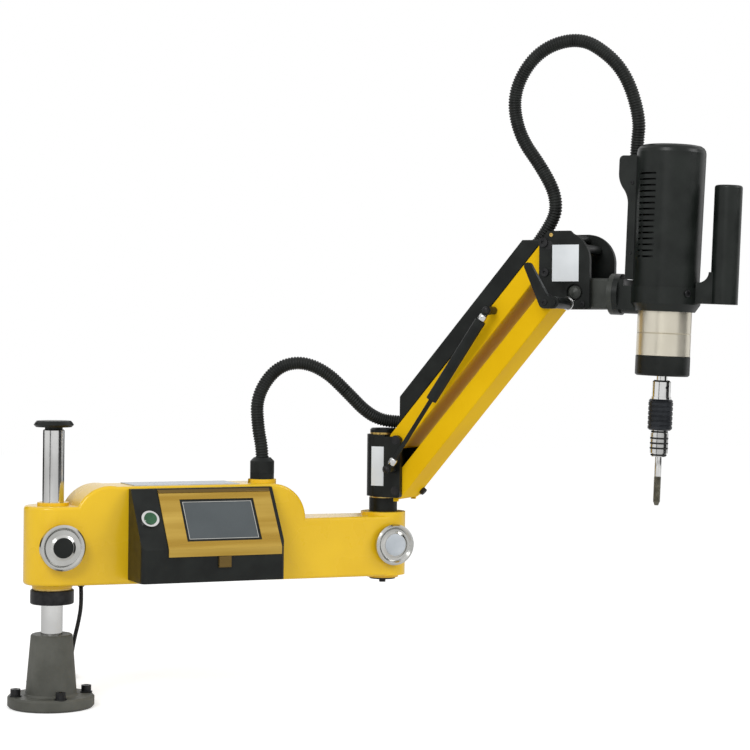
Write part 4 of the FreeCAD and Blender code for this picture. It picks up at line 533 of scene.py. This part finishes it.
knuckle_label = plate_piece("knuckle_label", (0.0190, label_thickness, 0.0540), label_edge,
                            swung @ Matrix.Translation((0.0065, -0.0333, 0.3070)))
fit_piece(knuckle_label, "post", blank_label)


# ---------------------------------------------------------------------------
# Parallel links: two yellow steel channels of one length. The upper one carries the
# black cable cover along its top, the lower one a rubber bumper.
yellow_channel = finish("yellow_channel", (0.74, 0.44, 0.004), (0.81, 0.50, 0.007), 9.0, (0.42, 0.54), 230.0,
                        0.00018, specular=0.03)
coat_piece(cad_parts["upper_link"], yellow_channel)
coat_piece(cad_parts["lower_link"], yellow_channel)
rubber_black = finish("rubber_black", (0.010, 0.010, 0.010), (0.016, 0.016, 0.016), 70.0, (0.6, 0.75), 900.0,
                      0.00008)
coat_piece(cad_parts["stop_bumper"], rubber_black)
coat_piece(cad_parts["cable_cover"], satin_black)


# ---------------------------------------------------------------------------
# Gas spring: a black painted cylinder with a black rod and bright end fittings, held on
# ball studs between the knuckle and the upper link. It carries the head's weight.
coat_piece(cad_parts["upper_ball_stud"], oiled_steel)
coat_piece(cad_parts["gas_spring_cylinder"], satin_black)
coat_piece(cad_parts["gas_spring_rod"], satin_black)
spring_foot = Vector((0.0300, -0.0500, 0.3045))
spring_head = Vector((0.173006, -0.0500, 0.521501))
spring_way = (spring_head - spring_foot).normalized()
fitting_profile = ((0.0046, 0.0), (0.0054, 0.0012), (0.0054, 0.0078), (0.0048, 0.0090), (0.0044, 0.0096))
for name, body, start, way in (("spring_foot_fitting", "gas_rod", spring_foot, spring_way),
                               ("spring_head_fitting", "gas_cylinder", spring_head, -spring_way)):
    fitting = turned_piece(name, fitting_profile, swung @ (start + way * 0.0078), swung.to_3x3() @ way, 32)
    fit_piece(fitting, body, chrome)
ball_profile = ((0.0050, 0.0), (0.0049, 0.0012), (0.0042, 0.0026), (0.0028, 0.0037), (0.0010, 0.0042))
for name, body, centre in (("spring_foot_ball", "gas_rod", spring_foot),
                           ("spring_head_ball", "gas_cylinder", spring_head)):
    ball = turned_piece(name, ball_profile, swung @ (centre + to_front * 0.0044), swung_front, 32)
    fit_piece(ball, body, oiled_steel)


# ---------------------------------------------------------------------------
# Head bracket: two black steel plates on cross bars, with the links' pins, a bare
# plate on the front, the screws and the tilt clamp's lever on its bright washer.
for part in ("head_front_plate", "head_rear_plate", "bracket_bars"):
    coat_piece(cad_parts[part], satin_black)
coat_piece(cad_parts["head_pins"], oiled_steel)
coat_piece(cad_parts["bracket_screws"], oiled_steel)
coat_piece(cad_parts["clamp_lever"], moulded_black)
front_label = plate_piece("front_label", (0.0370, label_thickness, 0.0485), label_edge,
                          swung @ Matrix.Translation((0.2775, -0.0352, 0.5842)))
fit_piece(front_label, "head_bracket", blank_label)
screw_shares = ((1.00, 0.0), (1.00, 0.45), (0.82, 0.62), (0.48, 0.62), (0.44, 0.25))


def small_screw(name, radius, place, aim):
    """A pan-head screw with a round recess, its back a little below the face that it is screwed into."""
    return turned_piece(name, [(share * radius, rise * radius) for share, rise in screw_shares], place, aim,
                        32)


plate_screw = small_screw("plate_top_screw", 0.0026, swung @ Vector((0.2572, -0.0349, 0.6215)),
                          swung_front)
fit_piece(plate_screw, "head_bracket", brass)
lever_washer = turned_piece("lever_washer",
                            ((0.0084, 0.0), (0.0088, 0.0005), (0.0088, 0.0024), (0.0083, 0.0030),
                             (0.0076, 0.0030)),
                            swung @ Vector((0.2815, -0.0354, 0.5308)), swung_front)
fit_piece(lever_washer, "clamp_lever", chrome)
heel_screw = small_screw("lever_heel_screw", 0.0040, swung @ Vector((0.2699, -0.0932, 0.5308)),
                         swung_front)
fit_piece(heel_screw, "clamp_lever", oiled_steel)


# ---------------------------------------------------------------------------
# Tilt block and motor head: black painted castings around the servo motor, with a
# moulded side cover over its wiring and a bar handle.
block_grey = finish("block_grey", (0.026, 0.029, 0.025), (0.042, 0.046, 0.040), 30.0, (0.34, 0.5), 500.0,
                    0.00015)
coat_piece(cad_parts["tilt_block"], block_grey)
housing_black = finish("housing_black", (0.0050, 0.0068, 0.0058), (0.0100, 0.0128, 0.0110), 30.0,
                       (0.28, 0.38), 900.0, 0.00005, specular=0.25)
for part in ("motor_bracket", "motor_housing", "side_cover", "handle"):
    coat_piece(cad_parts[part], housing_black)
coat_piece(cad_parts["servo_motor"], satin_black)
for name, x, z in (("cover_screw_top", 0.3575, 0.6921), ("cover_screw_low", 0.3580, 0.5999)):
    cover_screw = small_screw(name, 0.0024, in_head @ Vector((x, -0.0169, z)), head_front)
    fit_piece(cover_screw, "head", oiled_steel)
tool_axis = Vector((0.404, 0.0, 0.0))
ring_aim = Vector((math.cos(math.radians(-36.0)), math.sin(math.radians(-36.0)), 0.0))
ring_screw = small_screw("ring_screw", 0.0045,
                         in_head @ (tool_axis + ring_aim * 0.0453 + Vector((0.0, 0.0, 0.5490))),
                         in_head.to_3x3() @ ring_aim)
fit_piece(ring_screw, "head", oiled_steel)


# ---------------------------------------------------------------------------
# Gearbox and chuck: a pearl lacquered gear head with a black nose ring, the steel
# spindle, the quick-change chuck with its black sleeve, the collet and the tap.
pearl_lacquer = finish("pearl_lacquer", (0.60, 0.56, 0.46), (0.67, 0.63, 0.53), 20.0, (0.28, 0.34), 900.0,
                       0.00002, metallic=0.85)
coat_piece(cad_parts["gearbox"], pearl_lacquer)
coat_piece(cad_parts["nose_ring"], satin_black)
coat_piece(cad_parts["spindle"], chrome)
coat_piece(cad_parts["chuck_body"], chrome)
sleeve_black = finish("sleeve_black", (0.012, 0.014, 0.017), (0.026, 0.029, 0.034), 60.0, (0.26, 0.38),
                      1200.0, 0.00003, metallic=0.4)
coat_piece(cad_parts["chuck_sleeve"], sleeve_black)
coat_piece(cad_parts["collet"], chrome)
tool_up = in_head.to_3x3() @ Vector((0.0, 0.0, 1.0))
collet_rings = ((0.3373, 0.0095), (0.3461, 0.0109), (0.3526, 0.0109), (0.3591, 0.0109), (0.3676, 0.0101))
collet_ring_half = 0.0012
for number, (height, radius) in enumerate(collet_rings, 1):
    bpy.ops.object.select_all(action="DESELECT")
    bpy.ops.mesh.primitive_torus_add(major_segments=48, minor_segments=10, major_radius=radius,
                                     minor_radius=collet_ring_half)
    collet_ring = bpy.context.object
    collet_ring.name = "collet_ring_%d" % number
    settle(collet_ring, Matrix.Translation(in_head @ Vector((0.404, 0.0, height)))
           @ tool_up.to_track_quat("Z", "Y").to_matrix().to_4x4())
    fit_piece(collet_ring, "spindle", rubber_black)
chuck_aim = Vector((math.cos(math.radians(-35.0)), math.sin(math.radians(-35.0)), 0.0))
chuck_screw = small_screw("chuck_set_screw", 0.0022,
                          in_head @ (tool_axis + chuck_aim * 0.0117 + Vector((0.0, 0.0, 0.4256))),
                          in_head.to_3x3() @ chuck_aim)
fit_piece(chuck_screw, "spindle", oiled_steel)
tap_steel = finish("tap_steel", (0.10, 0.095, 0.075), (0.20, 0.19, 0.15), 90.0, (0.25, 0.40), 1200.0, 0.00003,
                   metallic=0.9)
tap_foot = in_head @ Vector((0.404, 0.0, 0.2711))
thread_pitch = 0.0015
thread_turns = 22
tap_profile = [(0.0026, 0.0), (0.0042, 0.0045)]
for turn in range(thread_turns):
    root = 0.0045 + turn * thread_pitch
    tap_profile += [(0.00475, root + 0.0005), (0.00475, root + 0.0008), (0.0042, root + 0.0013)]
tap_thread = turned_piece("tap_thread", [*tap_profile, (0.0043, 0.0380)], tap_foot, tool_up, 32)
fit_piece(tap_thread, "spindle", tap_steel)
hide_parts("tap")
tap_shank = turned_piece("tap_shank",
                         ((0.0043, 0.0379), (0.0044, 0.0384), (0.0044, 0.0800), (0.0040, 0.0815)), tap_foot,
                         tool_up, 32)
fit_piece(tap_shank, "spindle", chrome)
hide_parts("tap")


# ---------------------------------------------------------------------------
# The studio: a plain white floor that reads white in the picture, a pale sky all round,
# two soft lamps and four black cards that only gloss sees. None of it belongs to the machine.


def seen_share(nodes, links, plain, bright, *rays):
    """A strength that is 'bright' to the named kinds of rays and 'plain' to all others."""
    path = nodes.new("ShaderNodeLightPath")
    seen = path.outputs[rays[0]]
    for ray in rays[1:]:
        either = nodes.new("ShaderNodeMath")
        either.operation = "MAXIMUM"
        links.new(seen, either.inputs[0])
        links.new(path.outputs[ray], either.inputs[1])
        seen = either.outputs["Value"]
    share = nodes.new("ShaderNodeMapRange")
    share.inputs["To Min"].default_value = plain
    share.inputs["To Max"].default_value = bright
    links.new(seen, share.inputs["Value"])
    return share.outputs["Result"]


def studio_white(name):
    """Matt white that reads as plain white to the viewer and still holds the machine's shadow."""
    made = bpy.data.materials.new(name)
    made.use_nodes = True
    nodes, links = made.node_tree.nodes, made.node_tree.links
    surface = nodes["Principled BSDF"]
    surface.inputs["Base Color"].default_value = (0.88, 0.88, 0.88, 1.0)
    surface.inputs["Roughness"].default_value = 0.9
    surface.inputs["Specular IOR Level"].default_value = 0.0
    surface.inputs["Emission Color"].default_value = (1.0, 1.0, 1.0, 1.0)
    links.new(seen_share(nodes, links, 0.0, 0.45, "Is Camera Ray"), surface.inputs["Emission Strength"])
    return made


floor_white = studio_white("floor_white")
bpy.ops.mesh.primitive_plane_add(size=12.0, location=(0.0, 0.0, -0.0004))
floor = bpy.context.object
floor.name = "studio_floor"
coat_piece(floor, floor_white)

sky = bpy.data.worlds.new("studio_sky")
bpy.context.scene.world = sky
sky.use_nodes = True
sky_nodes, sky_links = sky.node_tree.nodes, sky.node_tree.links
glow = sky_nodes["Background"]
glow.inputs["Color"].default_value = (1.0, 1.0, 1.0, 1.0)
sky_share = seen_share(sky_nodes, sky_links, 0.62, 1.0, "Is Camera Ray", "Is Glossy Ray",
                       "Is Transmission Ray")
sky_links.new(sky_share, glow.inputs["Strength"])


def dark_card(name, place, width, height):
    """An upright black card that only gloss can see, so that bright metal gets its dark bands."""
    bpy.ops.object.select_all(action="DESELECT")
    bpy.ops.mesh.primitive_plane_add(size=1.0, location=place)
    card = bpy.context.object
    card.name = name
    card.scale = (width, height, 1.0)
    inward = Vector((0.35, 0.0, place[2])) - Vector(place)
    card.rotation_euler = inward.to_track_quat("Z", "Y").to_euler()
    card.visible_camera = False
    card.visible_diffuse = False
    card.visible_shadow = False
    coat_piece(card, rubber_black)


dark_card("card_right", (2.80, -1.75, 0.85), 2.3, 1.9)
dark_card("card_left", (-2.60, -2.10, 0.85), 0.55, 1.9)
dark_card("card_far_left", (-1.60, 2.90, 0.85), 2.4, 2.6)
dark_card("card_far_right", (2.60, 2.20, 0.85), 2.4, 2.6)


def soft_lamp(name, place, target, size, power):
    """A large square soft box aimed at a point on the machine."""
    bpy.ops.object.light_add(type="AREA", location=place)
    lamp = bpy.context.object
    lamp.name = name
    lamp.data.size = size
    lamp.data.energy = power
    lamp.rotation_euler = (Vector(target) - Vector(place)).to_track_quat("-Z", "Y").to_euler()


soft_lamp("key_lamp", (-1.9, -2.4, 2.3), (0.35, 0.0, 0.4), 1.4, 52.0)
soft_lamp("fill_lamp", (2.4, -1.8, 1.6), (0.35, 0.0, 0.4), 1.2, 24.0)

bpy.context.scene.view_settings.view_transform = "Standard"
